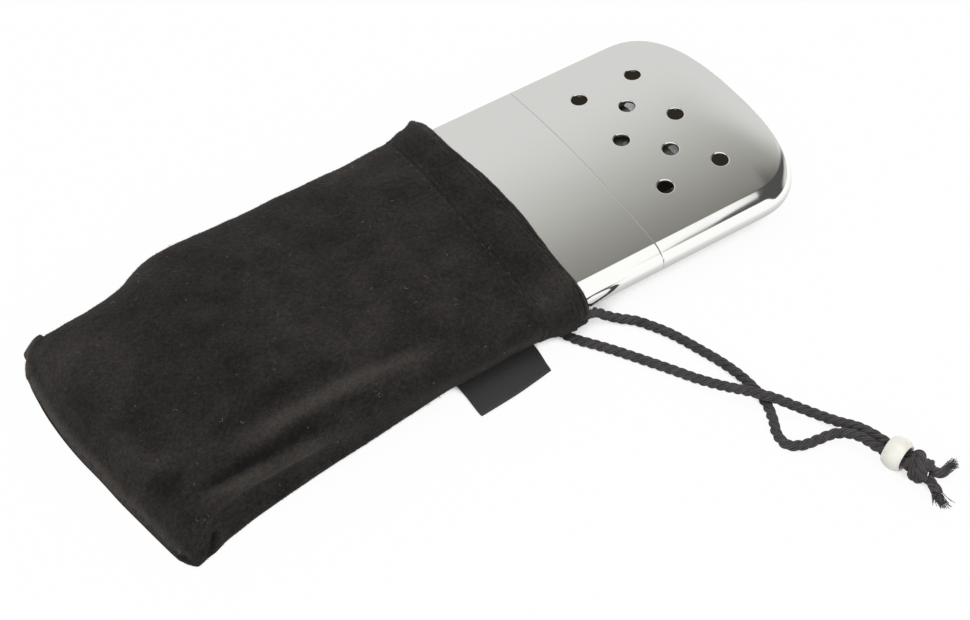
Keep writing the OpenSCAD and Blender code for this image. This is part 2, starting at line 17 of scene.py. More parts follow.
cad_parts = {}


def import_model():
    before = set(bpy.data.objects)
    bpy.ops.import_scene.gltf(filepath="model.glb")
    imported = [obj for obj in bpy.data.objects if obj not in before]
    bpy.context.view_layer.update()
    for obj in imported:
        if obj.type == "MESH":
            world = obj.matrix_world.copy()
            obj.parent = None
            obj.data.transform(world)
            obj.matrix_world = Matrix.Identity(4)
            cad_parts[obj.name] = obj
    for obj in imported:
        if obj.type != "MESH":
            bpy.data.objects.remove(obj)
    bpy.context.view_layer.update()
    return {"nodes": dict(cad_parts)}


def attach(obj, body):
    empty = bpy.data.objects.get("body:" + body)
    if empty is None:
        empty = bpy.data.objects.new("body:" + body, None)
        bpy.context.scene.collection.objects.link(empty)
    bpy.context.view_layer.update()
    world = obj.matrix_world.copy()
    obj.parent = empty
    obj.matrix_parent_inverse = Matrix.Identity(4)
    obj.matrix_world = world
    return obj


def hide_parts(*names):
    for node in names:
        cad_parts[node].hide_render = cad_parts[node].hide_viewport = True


LOG = logging.getLogger("hand_warmer")
MM = 0.001
TURN = 2 * math.pi
TINY = 1e-9
FAR = 1e6
# the height of the case's seam, and the lowest that cloth comes to the floor
SEAM_Z = 7.85
GROUND = 0.02
# what a mesh's UV map and its pile's tone, with its painted highlight and painted shade, are called
UV_NAME = "Around"
TONE_NAME = "tone"

Array = np.ndarray


# ---- Shader maths ----


class Wire:
    """A shader socket that carries a number; an expression on it adds its Math nodes."""

    def __init__(self, recipe: "Recipe", socket: bpy.types.NodeSocket) -> None:
        """Keeps the recipe that adds nodes, and the socket."""
        self.recipe, self.socket = recipe, socket

    def maths(self, operation: str, *values: "Wire | float") -> "Wire":
        """Adds a Math node with these inputs."""
        made = self.recipe.node("ShaderNodeMath", dict(enumerate(values)), operation=operation)
        return Wire(self.recipe, made.outputs[0])

    def __add__(self, other: "Wire | float") -> "Wire":
        """Sum."""
        return self.maths("ADD", self, other)

    def __sub__(self, other: "Wire | float") -> "Wire":
        """Difference."""
        return self.maths("SUBTRACT", self, other)

    def __rsub__(self, other: float) -> "Wire":
        """Difference from a number."""
        return self.maths("SUBTRACT", other, self)

    def __mul__(self, other: "Wire | float") -> "Wire":
        """Product."""
        return self.maths("MULTIPLY", self, other)

    __radd__, __rmul__ = __add__, __mul__

    def sine(self) -> "Wire":
        """Sine of an angle in radians."""
        return self.maths("SINE", self)

    def most(self, other: "Wire | float") -> "Wire":
        """The larger of two."""
        return self.maths("MAXIMUM", self, other)

    def step(self, low: float, high: float) -> "Wire":
        """A smooth step from 0 at low to 1 at high."""
        inputs = {"Value": self, "From Min": low, "From Max": high}
        made = self.recipe.node("ShaderNodeMapRange", inputs, interpolation_type="SMOOTHSTEP")
        return Wire(self.recipe, made.outputs["Result"])


class Recipe:
    """The node tree of one material, or of the world."""

    def __init__(self, owner: bpy.types.ID) -> None:
        """Empties the owner's node tree."""
        owner.use_nodes = True
        self.owner, self.tree = owner, owner.node_tree
        self.tree.nodes.clear()

    def node(self, kind: str, inputs: dict | None = None, **settings: object) -> bpy.types.Node:
        """Adds a node; inputs are values or links by socket, settings its properties or a ramp's stops."""
        made = self.tree.nodes.new(kind)
        for key, value in settings.items():
            if key == "stops":
                self._set_stops(made.color_ramp, value)
            else:
                setattr(made, key, value)
        for key, value in (inputs or {}).items():
            source = value.socket if isinstance(value, Wire) else value
            if isinstance(source, bpy.types.NodeSocket):
                self.tree.links.new(source, made.inputs[key])
            else:
                made.inputs[key].default_value = value
        return made

    @staticmethod
    def _set_stops(ramp: bpy.types.ColorRamp, stops: list[tuple[float, tuple]]) -> None:
        """Gives a ramp its stops, each a place and a colour."""
        while len(ramp.elements) < len(stops):
            ramp.elements.new(1)
        for element, (place, colour) in zip(ramp.elements, stops):
            element.position = place
            element.color = (*colour, 1)

    def wire(self, socket: bpy.types.NodeSocket) -> Wire:
        """Wraps a socket for shader maths."""
        return Wire(self, socket)

    def place(self) -> bpy.types.NodeSocket:
        """Object coordinates, in metres in the row frame."""
        return self.node("ShaderNodeTexCoord").outputs["Object"]

    def rays(self, *names: str) -> tuple[Wire, ...]:
        """What a Light Path node says about the ray."""
        path = self.node("ShaderNodeLightPath")
        return tuple(self.wire(path.outputs[name]) for name in names)

    def around(self) -> tuple[Wire, Wire]:
        """U and V of the mesh's map."""
        across, along, _ = self.axes(self.node("ShaderNodeUVMap", uv_map=UV_NAME).outputs[0])
        return across, along

    def axes(self, vector: bpy.types.NodeSocket | None = None) -> tuple[Wire, Wire, Wire]:
        """X, Y and Z of a vector in millimetres; of the object coordinates if none is given."""
        scale = 1 if vector is not None else 1 / MM
        parts = self.node("ShaderNodeSeparateXYZ", {0: vector if vector is not None else self.place()})
        return tuple(self.wire(s) * scale for s in parts.outputs)

    def noise(self, size: float, detail: float = 2, vector: object = None, rough: float = 0.5) -> Wire:
        """Noise from 0 to 1 with features of a size in millimetres; detail counts finer octaves."""
        where = vector if vector is not None else self.place()
        inputs = {"Vector": where, "Scale": 1 / (size * MM), "Detail": detail, "Roughness": rough}
        return self.wire(self.node("ShaderNodeTexNoise", inputs).outputs[0])

    def stretched(self, scale: tuple[float, float, float], turn: tuple = (0, 0, 0)) -> bpy.types.NodeSocket:
        """Object coordinates scaled along each axis and turned."""
        made = self.node("ShaderNodeMapping", {"Vector": self.place(), "Scale": scale, "Rotation": turn})
        return made.outputs[0]

    def blend(self, share: Wire, low: tuple, high: tuple) -> bpy.types.NodeSocket:
        """A colour between two, by share."""
        ramp = self.node("ShaderNodeValToRGB", {0: share}, stops=[(0, low), (1, high)])
        return ramp.outputs[0]

    def bump(self, height: Wire, depth: float) -> bpy.types.NodeSocket:
        """A normal from a height of 0 to 1 that stands for depth millimetres."""
        made = self.node("ShaderNodeBump", {"Height": height, "Distance": depth * MM, "Strength": 1})
        return made.outputs[0]

    def close(self, inputs: dict) -> bpy.types.ID:
        """Ends a material in a Principled shader with these inputs."""
        shader = self.node("ShaderNodeBsdfPrincipled", inputs)
        self.node("ShaderNodeOutputMaterial", {"Surface": shader.outputs[0]})
        return self.owner


def linear(*levels: float) -> tuple[float, ...]:
    """sRGB levels from 0 to 255 as linear light."""
    shares = (level / 255 for level in levels)
    return tuple(v / 12.92 if v <= 0.04045 else ((v + 0.055) / 1.055) ** 2.4 for v in shares)


# ---- Finishes ----


@dataclass(frozen=True)
class Finish:
    """A finish, known by its material's name."""

    name: str

    def shader(self, made: Recipe) -> dict:
        """The shader's inputs; each finish has its own."""
        raise NotImplementedError

    def material(self) -> bpy.types.Material:
        """The finish's material, made once."""
        found = bpy.data.materials.get(self.name)
        if found is not None:
            return found
        made = Recipe(bpy.data.materials.new(self.name))
        return made.close(self.shader(made))


@dataclass(frozen=True)
class ChromePlate(Finish):
    """Bright chrome with faint drawn lines and wiping haze."""

    colour: tuple = linear(232, 232, 229)
    gloss: float = 0.055
    haze: float = 0.05

    def shader(self, made: Recipe) -> dict:
        """Roughness from haze and fine drawn lines; bump from a shallow wave in the sheet."""
        haze = made.noise(14, 3)
        lines = made.noise(1.2, 2, made.stretched((0.06, 1, 1)))
        wave = made.noise(24, 1)
        rough = self.gloss + self.haze * haze.step(0.45, 0.85) + 0.02 * lines
        height = wave + 0.012 * lines
        return {
            "Base Color": (*self.colour, 1),
            "Metallic": 1,
            "Roughness": rough,
            "Normal": made.bump(height, 0.10),
        }


@dataclass(frozen=True)
class PressedSteel(Finish):
    """Plain pressed sheet with drawing lines and heat tint near the catalyst; a little painted glow of its
    own, standing in for light that reaches in.
    """

    colour: tuple = linear(128, 126, 122)
    # a painted glow, standing in for light; none unless given
    tint: tuple = linear(112, 96, 74)
    glow: tuple = linear(0, 0, 0)

    def shader(self, made: Recipe) -> dict:
        """Lines along Y, blotches of heat tint and a soft gloss."""
        lines = made.noise(0.5, 3, made.stretched((1, 0.08, 1)))
        heat = made.noise(5, 3).step(0.5, 0.8)
        mixed = {0: heat * 0.35, 6: (*self.colour, 1), 7: (*self.tint, 1)}
        colour = made.node("ShaderNodeMix", mixed, data_type="RGBA")
        return {
            "Base Color": colour.outputs[2],
            "Metallic": 1,
            "Roughness": 0.36 + 0.18 * lines,
            "Emission Color": (*self.glow, 1),
            "Emission Strength": 1,
            "Normal": made.bump(lines, 0.02),
        }


@dataclass(frozen=True)
class Wool(Finish):
    """Matted fibre: felt, wadding or a mineral wool mat."""

    low: tuple = linear(205, 200, 190)
    high: tuple = linear(240, 237, 229)
    fibre: float = 0.25

    def shader(self, made: Recipe) -> dict:
        """Tangled fibres as stretched noise in two directions."""
        one = made.noise(self.fibre, 3, made.stretched((0.2, 1, 1), (0, 0, 0.6)))
        two = made.noise(self.fibre, 3, made.stretched((1, 0.2, 1), (0.4, 0, -0.3)))
        tangle = one.most(two)
        return {
            "Base Color": made.blend(tangle.step(0.3, 0.75), self.low, self.high),
            "Roughness": 0.95,
            "Specular IOR Level": 0.1,
            "Sheen Weight": 0.3,
            "Normal": made.bump(tangle, 0.2),
        }


@dataclass(frozen=True)
class Velvet(Finish):
    """Short black-brown pile, with painted highlight on fold crests and painted shade in the valleys."""

    dark: tuple = linear(22, 20, 20)
    light: tuple = linear(80, 76, 73)
    mouth_x: float = 55.5
    rib_band: float = 6

    def shader(self, made: Recipe) -> dict:
        """Pile as fine noise over faint clouds, with ribs beside the mouth and the mesh's own tone, which
        holds painted highlight and painted shade.
        """
        x, _, _ = made.axes()
        clouds = made.noise(8, 3)
        tufts = made.noise(0.9, 3, rough=0.6)
        pile = made.noise(0.34, 3, rough=0.6)
        near_mouth = x.step(self.mouth_x - self.rib_band, self.mouth_x - 1)
        ribs = ((x + made.noise(2.4, 2) * 0.9) * (TURN / 1.1)).sine() * near_mouth
        # the mesh's tone: painted highlight on fold crests and rims, painted shade in creases, and random
        # clouds
        tone = made.wire(made.node("ShaderNodeAttribute", attribute_name=TONE_NAME).outputs["Fac"])
        shade = 0.22 * clouds + 0.34 * tufts + 0.36 * pile + 0.05 * ribs + 0.30 * tone
        return {
            "Base Color": made.blend(shade.step(0.26, 1.02), self.dark, self.light),
            "Roughness": 0.95,
            "Specular IOR Level": 0.06,
            "Sheen Weight": 0.28,
            "Sheen Roughness": 0.45,
            "Sheen Tint": (*linear(170, 164, 158), 1),
            "Normal": made.bump(0.5 * tufts + 0.6 * pile + 0.2 * ribs, 0.3),
        }


@dataclass(frozen=True)
class Yarn(Finish):
    """Twisted fibre: cord strands, sewing thread. V of the UV map runs along the strand."""

    dark: tuple = linear(38, 36, 36)
    light: tuple = linear(86, 83, 83)
    turns: float = 7
    lean: float = 1.1

    def shader(self, made: Recipe) -> dict:
        """Fibres wind round the strand: waves over U that lean with V, roughened by noise."""
        around, along = made.around()
        fuzz = made.noise(0.22, 3)
        fibres = ((around * self.turns + along * self.lean + fuzz * 0.7) * TURN).sine() * 0.5 + 0.5
        patches = made.noise(2.6, 2)
        shade = fibres * 0.24 + fuzz * 0.55 + patches * 0.4
        return {
            "Base Color": made.blend(shade.step(0.25, 0.95), self.dark, self.light),
            "Roughness": 0.8,
            "Specular IOR Level": 0.22,
            "Sheen Weight": 0.15,
            "Sheen Roughness": 0.4,
            "Normal": made.bump(fibres + fuzz * 0.8, 0.07),
        }


@dataclass(frozen=True)
class LabelWeave(Finish):
    """Bare satin-woven tape with fine crossways ribs."""

    dark: tuple = linear(34, 33, 33)
    light: tuple = linear(66, 65, 65)

    def shader(self, made: Recipe) -> dict:
        """Weft ribs over warp lines, broken by noise."""
        across, along = made.around()
        fuzz = made.noise(0.5, 3)
        weft = ((across * 62 + fuzz * 0.3) * TURN).sine() * 0.5 + 0.5
        warp = (along * (96 * TURN)).sine() * 0.5 + 0.5
        weave = weft * 0.6 + warp * 0.4
        return {
            "Base Color": made.blend(weave * 0.6 + fuzz * 0.4, self.dark, self.light),
            "Roughness": 0.55,
            "Specular IOR Level": 0.35,
            "Sheen Weight": 0.1,
            "Normal": made.bump(weave, 0.06),
        }


@dataclass(frozen=True)
class BeadGlaze(Finish):
    """Glossy off-white moulded bead."""

    low: tuple = linear(226, 224, 213)
    high: tuple = linear(239, 237, 229)

    def shader(self, made: Recipe) -> dict:
        """A faint cloud in the colour, a clear coat and slight moulding waves."""
        cloud = made.noise(2.4, 2)
        return {
            "Base Color": made.blend(cloud, self.low, self.high),
            "Roughness": 0.28,
            "Coat Weight": 0.7,
            "Coat Roughness": 0.06,
            "Subsurface Weight": 0.15,
            "Subsurface Scale": 0.002,
            "Normal": made.bump(made.noise(1.5, 1), 0.02),
        }


CHROME = ChromePlate("bright_chrome")
STEEL = PressedSteel("pressed_steel_sheet")
# the case's inside: stained steel with a painted glow that lightens it where the vents show it
STAINED_WITH_GLOW = PressedSteel("stained_inside_painted_glow", linear(118, 112, 100), linear(84, 74, 60), linear(40, 37, 31))
FELT = Wool("white_felt")
MAT = Wool("catalyst_mat_wool", linear(92, 90, 86), linear(172, 169, 162), 0.3)
VELVET = Velvet("pile_velvet")
LINT = Wool("caught_lint", linear(84, 80, 76), linear(132, 126, 118))
CORD = Yarn("twisted_cord")
FRAY = Yarn("frayed_cord", linear(44, 41, 43), linear(96, 91, 94), 3, 0.4)
THREAD = Yarn("sewing_thread", linear(30, 28, 28), linear(54, 51, 50), 3, 2.5)
WEAVE = LabelWeave("woven_tape")
GLAZE = BeadGlaze("bead_glaze")


def declare(piece: bpy.types.Object, body: str, slot: str, *nodes: str) -> None:
    """Says which body a piece rides and which of the model's nodes it replaces, if any; its slot is not
    used.
    """
    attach(piece, body)
    if nodes:
        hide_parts(*nodes)


# ---- Meshes from arrays ----


def fan_faces(ring: Array, hub: int, flip: bool = False) -> Array:
    """Triangles from a closed ring of points to a hub."""
    after = np.roll(ring, -1)
    pair = (after, ring) if flip else (ring, after)
    return np.stack([pair[0], pair[1], np.full(len(ring), hub)], -1)


@dataclass
class Shape:
    """A mesh in the making: points in millimetres, faces, UV pairs at corners, a tone at each point."""

    points: Array
    faces: list[Array]
    uv: list[Array] | None = None
    tone: Array | None = None

    @staticmethod
    def grid(points: Array, wrap: bool = False, flip: bool = False, scale: tuple = (1, 1)) -> "Shape":
        """A surface from rows of points, which can close on themselves or be turned round.

        U runs along a row and V along a column, as far as scale says.
        """
        rows, cols = points.shape[:2]
        span = cols if wrap else cols - 1
        r, c = np.meshgrid(np.arange(rows - 1), np.arange(span), indexing="ij")
        corners = [(r, c), (r, c + 1), (r + 1, c + 1), (r + 1, c)]
        faces = np.stack([a * cols + b % cols for a, b in corners], -1).reshape(-1, 4)
        pairs = [np.stack([b / span * scale[0], a / (rows - 1) * scale[1]], -1) for a, b in corners]
        uv = np.stack(pairs, -2).reshape(-1, 4, 2)
        if flip:
            faces, uv = faces[:, ::-1], uv[:, ::-1]
        return Shape(points.reshape(-1, 3), [faces], [uv])

    def capped(self, rows: int, cols: int, flip: bool = False) -> "Shape":
        """Closes both ends of a wrapped grid with fans round their middles."""
        first, last = np.arange(cols), np.arange(cols) + (rows - 1) * cols
        hubs = np.stack([self.points[first].mean(0), self.points[last].mean(0)])
        n = len(self.points)
        caps = [fan_faces(first, n, not flip), fan_faces(last, n + 1, flip)]
        uv = [np.zeros((cols, 3, 2))] * 2
        tone = None if self.tone is None else np.append(self.tone, [0, 0])
        return Shape(np.concatenate([self.points, hubs]), self.faces + caps, self.uv + uv, tone)

    @staticmethod
    def join(shapes: list["Shape"]) -> "Shape":
        """Several shapes as one mesh."""
        shifts = np.cumsum([0] + [len(shape.points) for shape in shapes[:-1]])
        faces = [block + shift for shape, shift in zip(shapes, shifts) for block in shape.faces]
        uv = [block for shape in shapes for block in shape.uv]
        return Shape(np.concatenate([shape.points for shape in shapes]), faces, uv)

    def build(self, name: str, finish: Finish, normals: Array | None = None) -> bpy.types.Object:
        """Makes the object at the origin, with normals at its points where a formula gives them."""
        mesh = bpy.data.meshes.new(name)
        faces = [face for block in self.faces for face in block.tolist()]
        mesh.from_pydata((self.points * MM).tolist(), [], faces)
        if self.uv is not None:
            layer = mesh.uv_layers.new(name=UV_NAME)
            flat = np.concatenate([block.reshape(-1, 2) for block in self.uv])
            layer.data.foreach_set("uv", flat.astype(np.float32).ravel())
        if self.tone is not None:
            layer = mesh.attributes.new(TONE_NAME, "FLOAT", "POINT")
            layer.data.foreach_set("value", self.tone.astype(np.float32))
        mesh.shade_smooth()
        if normals is not None:
            mesh.normals_split_custom_set_from_vertices(normals.tolist())
        mesh.materials.append(finish.material())
        piece = bpy.data.objects.new(name, mesh)
        bpy.context.scene.collection.objects.link(piece)
        return piece


def unit(v: Array) -> Array:
    """Vectors at length 1."""
    return v / np.maximum(np.linalg.norm(v, axis=-1, keepdims=True), 1e-12)


def ease(x: Array, low: float, high: float) -> Array:
    """A smooth step from 0 at low to 1 at high."""
    t = np.clip((x - low) / (high - low), 0, 1)
    return t * t * (3 - 2 * t)


def bell(x: Array, middle: float, width: float) -> Array:
    """A bell curve of height 1."""
    return np.exp(-(((x - middle) / width) ** 2))


def keep_above(points: Array, low: float) -> None:
    """Raises points that lie lower than a height over the floor."""
    points[..., 2] = np.maximum(points[..., 2], low)


def signed_power(v: Array, p: float) -> Array:
    """A power that keeps the sign."""
    return np.sign(v) * np.abs(v) ** p


def hermite(at: Array, knots: Array, where: Array) -> Array:
    """Values at places on a smooth curve through knots, each knot's slope from its neighbours."""
    slope = np.gradient(knots, at, axis=0)
    k = np.clip(np.searchsorted(at, where, side="right") - 1, 0, len(at) - 2)
    h = (at[k + 1] - at[k])[:, None]
    t = np.clip((where - at[k])[:, None] / h, 0, 1)
    return (
        (2 * t**3 - 3 * t**2 + 1) * knots[k]
        + (t**3 - 2 * t**2 + t) * h * slope[k]
        + (3 * t**2 - 2 * t**3) * knots[k + 1]
        + (t**3 - t**2) * h * slope[k + 1]
    )


def steps(curve: Array) -> Array:
    """Distances between a polyline's points; further columns don't count."""
    return np.linalg.norm(np.diff(curve[:, :3], axis=0), axis=1)


def run_along(curve: Array) -> Array:
    """Distance along a polyline at each of its points."""
    return np.concatenate([[0], np.cumsum(steps(curve))])


def evenly(curve: Array, shares: Array) -> Array:
    """Points of a polyline at shares of its length."""
    run = run_along(curve)
    return np.stack([np.interp(shares * run[-1], run, column) for column in curve.T], -1)


def smooth_line(knots: Array, step: float) -> Array:
    """A smooth curve through points, resampled at an even step; further columns follow along."""
    knots = np.asarray(knots, float)
    at = run_along(knots)
    curve = hermite(at, knots, np.linspace(0, at[-1], max(8, int(4 * at[-1] / step))))
    return evenly(curve, np.linspace(0, 1, max(3, int(round(steps(curve).sum() / step)) + 1)))


def table(rows: list[tuple[float, float]], where: Array) -> Array:
    """A smooth function through (place, value) rows."""
    at, value = np.array(rows, float).T
    return hermite(at, value[:, None], np.clip(where, at[0], at[-1]))[:, 0]


def carried_frame(line: Array, start: Array) -> tuple[Array, Array, Array]:
    """Directions along, sideways of and above a line, carried from a first one without twist."""
    along = unit(np.gradient(line, axis=0))
    side = np.empty_like(line)
    now = np.asarray(start, float)
    for i, t in enumerate(along):
        now = now - (now @ t) * t
        now /= np.linalg.norm(now)
        side[i] = now
    return along, side, np.cross(along, side)


def circle(a: Array, side: Array, up: Array) -> Array:
    """Points of the unit circle at angles a, in the plane of side and up."""
    return np.cos(a)[..., None] * side + np.sin(a)[..., None] * up


def axes_round(axis: tuple) -> tuple[Array, Array, Array]:
    """A level axis at length 1, with directions sideways of it and above it."""
    axis = unit(np.array(axis, float))
    side = unit(np.cross(axis, [0, 0, 1]))
    return axis, side, np.cross(side, axis)


def tube(line: Array, radius: Array | float, sides: int, start: Array) -> Shape:
    """A tube round a line, closed by fans, with one radius or one a point; V counts its diameters."""
    _, side, up = carried_frame(line, start)
    r = np.broadcast_to(np.asarray(radius, float), (len(line),))[:, None, None]
    a = np.arange(sides) * TURN / sides
    points = line[:, None] + r * circle(a[None], side[:, None], up[:, None])
    shape = Shape.grid(points, wrap=True, scale=(1, steps(line).sum() / (2 * float(np.mean(r)))))
    return shape.capped(len(line), sides)


# ---- The case ----


class Side(Enum):
    """Which way a half case points from the seam."""

    LID = 1
    TANK = -1


@dataclass(frozen=True)
class CaseForm:
    """The pillow shape of the case.

    Its section has an arc of the edge radius at each long edge and one wide crown arc between
    them. Level curves are superellipses round the end, so the end has the same section.
    """

    width: float = 67
    thick: float = 12.7
    edge: float = 4.2
    end: float = 18.5
    power: float = 2.6
    samples: int = 400

    @property
    def half(self) -> float:
        """Half the width."""
        return self.width / 2

    @property
    def crown(self) -> float:
        """Radius of the crown arc, from its chord and rise over the edge arcs."""
        rise = self.thick / 2
        return ((self.half - self.edge) ** 2 + rise**2 - self.edge**2) / (self.thick - 2 * self.edge)

    def profile(self) -> tuple[Array, Array, Array, Array]:
        """The section from the edge to the middle.

        Gives the share of the way in by arc length from 1 to 0, the level share, the height over
        the middle plane, and the surface's tilt, an angle of 0 where it is upright.
        """
        big = self.crown
        join = math.acos((self.half - self.edge) / (big - self.edge))
        a = np.linspace(0, join, self.samples)
        u = np.linspace(big * math.cos(join), 0, self.samples)[1:]
        inset = np.concatenate([self.edge * (1 - np.cos(a)), self.half - u])
        height = np.concatenate([self.edge * np.sin(a), self.thick / 2 - big + np.sqrt(big**2 - u**2)])
        tilt = np.concatenate([a, np.arccos(u / big)])
        run = np.concatenate([[0], np.cumsum(np.hypot(np.diff(inset), np.diff(height)))])
        return 1 - run / run[-1], 1 - inset / self.half, height, tilt

    def level(self, out: Array, across: Array) -> Array:
        """Level share of places given by their shares along the end and across."""
        return (out**self.power + np.abs(across) ** self.power) ** (1 / self.power)

    def sigma_of(self, rho: Array) -> Array:
        """Share by arc length where the level share is rho."""
        share, level, _, _ = self.profile()
        return np.interp(rho, level[::-1], share[::-1])

    def lift(self, p: Array, q: Array, long: float) -> tuple[Array, Array]:
        """Points and normals of the upper half of the surface, with the seam at X 0.

        The flat pattern's p is the distance from the seam and q the place across, -1 to 1.
        """
        share, level, height, tilt = self.profile()
        straight = long - self.end
        out = np.maximum(p - straight, 0) / self.end
        sigma = np.clip(self.level(out, q), TINY, 1)
        rho = np.interp(sigma, share[::-1], level[::-1])
        k = rho / sigma
        x = np.where(p > straight, straight + (p - straight) * k, p)
        y = self.half * q * k
        z = np.interp(sigma, share[::-1], height[::-1])
        a = np.interp(sigma, share[::-1], tilt[::-1])
        gx = (out * k) ** (self.power - 1) * rho ** (1 - self.power) / self.end
        gy = np.sign(q) * np.abs(q * k) ** (self.power - 1) * rho ** (1 - self.power) / self.half
        normal = np.stack([np.cos(a) * self.half * gx, np.cos(a) * self.half * gy, np.sin(a)], -1)
        return np.stack([x, y, z], -1), unit(normal)


@dataclass
class HalfCase:
    """A pressed half of the case, the tank or the lid, with its vent holes."""

    form: CaseForm
    side: Side
    long: float
    middle: tuple[float, float]
    holes: Array = field(default_factory=lambda: np.zeros((0, 2)))
    hole_r: float = 2.0
    hole_sides: int = 48
    lip: float = 0.3
    lip_depth: float = 0.18
    sheet: float = 0.5
    rim: float = 0.3
    rim_roll: float = 0.16
    pitch: float = 1.0

    def _pattern(self) -> Array:
        """Points of the flat pattern: a grid inside, even rows along the edge, rings at the holes."""
        form, long, half = self.form, self.long, self.form.half
        straight = long - form.end
        rim_rows = np.array([0, 0.015, 0.04, 0.08, 0.13, 0.18, 0.24, 0.3, 0.45])
        edge_rows = 1 - np.array([0, 0.35, 0.75, 1.2, 1.7, 2.25, 2.85, 3.5, 4.2, 5.0, 5.9, 6.9]) / half
        p = np.concatenate([rim_rows, np.arange(0.9, straight, self.pitch * 0.9)])
        a = np.linspace(0, math.pi / 2, int(form.end * 1.9 / self.pitch))
        cap_p, cap_q = np.cos(a) ** (2 / form.power), np.sin(a) ** (2 / form.power)
        blocks = []
        for row in edge_rows:
            for s in (-1, 1):
                blocks.append(np.stack([p, np.full(len(p), s * row)], -1))
                blocks.append(np.stack([straight + form.end * row * cap_p, s * row * cap_q], -1))
        xs = np.concatenate([rim_rows, np.arange(0.9, long, self.pitch)])
        ys = np.arange(-half + 0.4, half, self.pitch) / half
        grid = np.stack(np.meshgrid(xs, ys, indexing="ij"), -1).reshape(-1, 2)
        out = np.maximum(grid[:, 0] - straight, 0) / form.end
        sigma = form.level(out, grid[:, 1])
        grid = grid[sigma < edge_rows[-1] - 0.5 * self.pitch / half]
        rings = [0, 0.015, 0.045, 0.09, 0.15, 0.22, self.lip, self.lip + 0.3, self.lip + 0.8]
        radii = self.hole_r + np.array(rings)
        b = np.arange(self.hole_sides) * TURN / self.hole_sides
        for hole in self.holes:
            keep = np.linalg.norm(grid * [1, half] - hole, axis=1) > radii[-1] + 0.5 * self.pitch
            grid = grid[keep]
            ring = hole + radii[:, None, None] * np.stack([np.cos(b), np.sin(b)], -1)[None]
            blocks.append(self._to_pattern(ring.reshape(-1, 2)))
        points = np.concatenate(blocks + [grid])
        return np.unique(np.round(points, 6), axis=0)

    def _to_pattern(self, places: Array) -> Array:
        """Places on the case, X from the seam and Y, as points of the flat pattern."""
        form = self.form
        straight = self.long - form.end
        out = np.maximum(places[:, 0] - straight, 0) / form.end
        across = places[:, 1] / form.half
        rho = np.maximum(form.level(out, across), TINY)
        k = form.sigma_of(rho) / rho
        p = np.where(places[:, 0] > straight, straight + (places[:, 0] - straight) * k, places[:, 0])
        return np.stack([p, across * k], -1)

    def build(self, name: str) -> bpy.types.Object:
        """Lifts the pattern, rolls its rim and holes in, adds the inner face and the lower half."""
        form, half = self.form, self.form.half
        pattern = self._pattern()
        flat = pattern * [1, half]
        result = delaunay_2d_cdt([Vector(v) for v in flat], [], [], 0, 1e-7)
        flat = np.array([tuple(v) for v in result[0]])
        tri = np.array(result[2], int)
        points, normal = form.lift(flat[:, 0], flat[:, 1] / half, self.long)
        holes = self.holes if len(self.holes) else np.full((1, 2), FAR)
        away = points[:, None, :2] - holes[None]
        reach = np.linalg.norm(away, axis=-1)
        nearest = reach.argmin(1)
        r = reach[np.arange(len(points)), nearest]
        outward = away[np.arange(len(points)), nearest] / np.maximum(r, TINY)[:, None]
        middle = points[tri].mean(1)
        inward = np.linalg.norm(middle[:, None, :2] - holes[None], axis=-1).min(1)
        tri = tri[inward >= self.hole_r * 0.995]
        a, b, c = (flat[tri[:, i]] for i in range(3))
        spin = (b - a)[:, 0] * (c - a)[:, 1] - (b - a)[:, 1] * (c - a)[:, 0]
        tri = np.where((spin < 0)[:, None], tri[:, ::-1], tri)
        dip, steep = self._roll((self.hole_r + self.lip - r) / self.lip, self.lip_depth, self.lip)
        sink, lean = self._roll((self.rim - flat[:, 0]) / self.rim, self.rim_roll, self.rim)
        outer = points - normal * (dip + sink)[:, None]
        turned = normal - np.concatenate([outward, np.zeros((len(r), 1))], 1) * steep[:, None]
        turned[:, 0] -= lean
        turned = unit(turned)
        inner = outer - normal * self.sheet
        return self._assemble(name, outer, inner, turned, -normal, tri)

    @staticmethod
    def _roll(t: Array, depth: float, width: float) -> tuple[Array, Array]:
        """A quarter-ellipse roll: how far it sinks and its slope, for t from 0 outside to 1.

        It stops a little short of 1, where the slope has no limit.
        """
        t = np.clip(t, 0, 0.985)
        root = np.sqrt(1 - t**2)
        return depth * (1 - root), depth / width * t / root

    def _assemble(
        self, name: str, outer: Array, inner: Array, out_normal: Array, in_normal: Array, tri: Array
    ) -> bpy.types.Object:
        """Joins outer and inner faces and both halves into one closed sheet."""
        n = len(outer)
        directed = np.concatenate([tri[:, [0, 1]], tri[:, [1, 2]], tri[:, [2, 0]]])
        ends = np.sort(directed, axis=1)
        _, index, uses = np.unique(ends, axis=0, return_inverse=True, return_counts=True)
        border = directed[uses[index.ravel()] == 1]
        equator = np.abs(outer[:, 2]) < 1e-4
        a, b = border[~(equator[border[:, 0]] & equator[border[:, 1]])].T
        lower = np.where(~equator)[0]
        twin, twin_in = np.arange(n), np.arange(n) + n
        twin[lower] = 2 * n + np.arange(len(lower))
        twin_in[lower] = 2 * n + len(lower) + np.arange(len(lower))
        flip = np.array([1, 1, -1])
        points = [outer, inner, outer[lower] * flip, inner[lower] * flip]
        normals = [out_normal, in_normal, out_normal[lower] * flip, in_normal[lower] * flip]
        faces = [
            tri,
            tri[:, ::-1] + n,
            np.stack([b, a, a + n, b + n], -1),
            twin[tri][:, ::-1],
            twin_in[tri],
            np.stack([twin[a], twin[b], twin_in[b], twin_in[a]], -1),
        ]
        x0, z0 = self.middle
        points = np.concatenate(points) * [self.side.value, 1, 1] + [x0, 0, z0]
        normals = np.concatenate(normals) * [self.side.value, 1, 1]
        if self.side is Side.TANK:
            faces = [f[:, ::-1] for f in faces]
        case = Shape(points, faces).build(name, CHROME, normals)
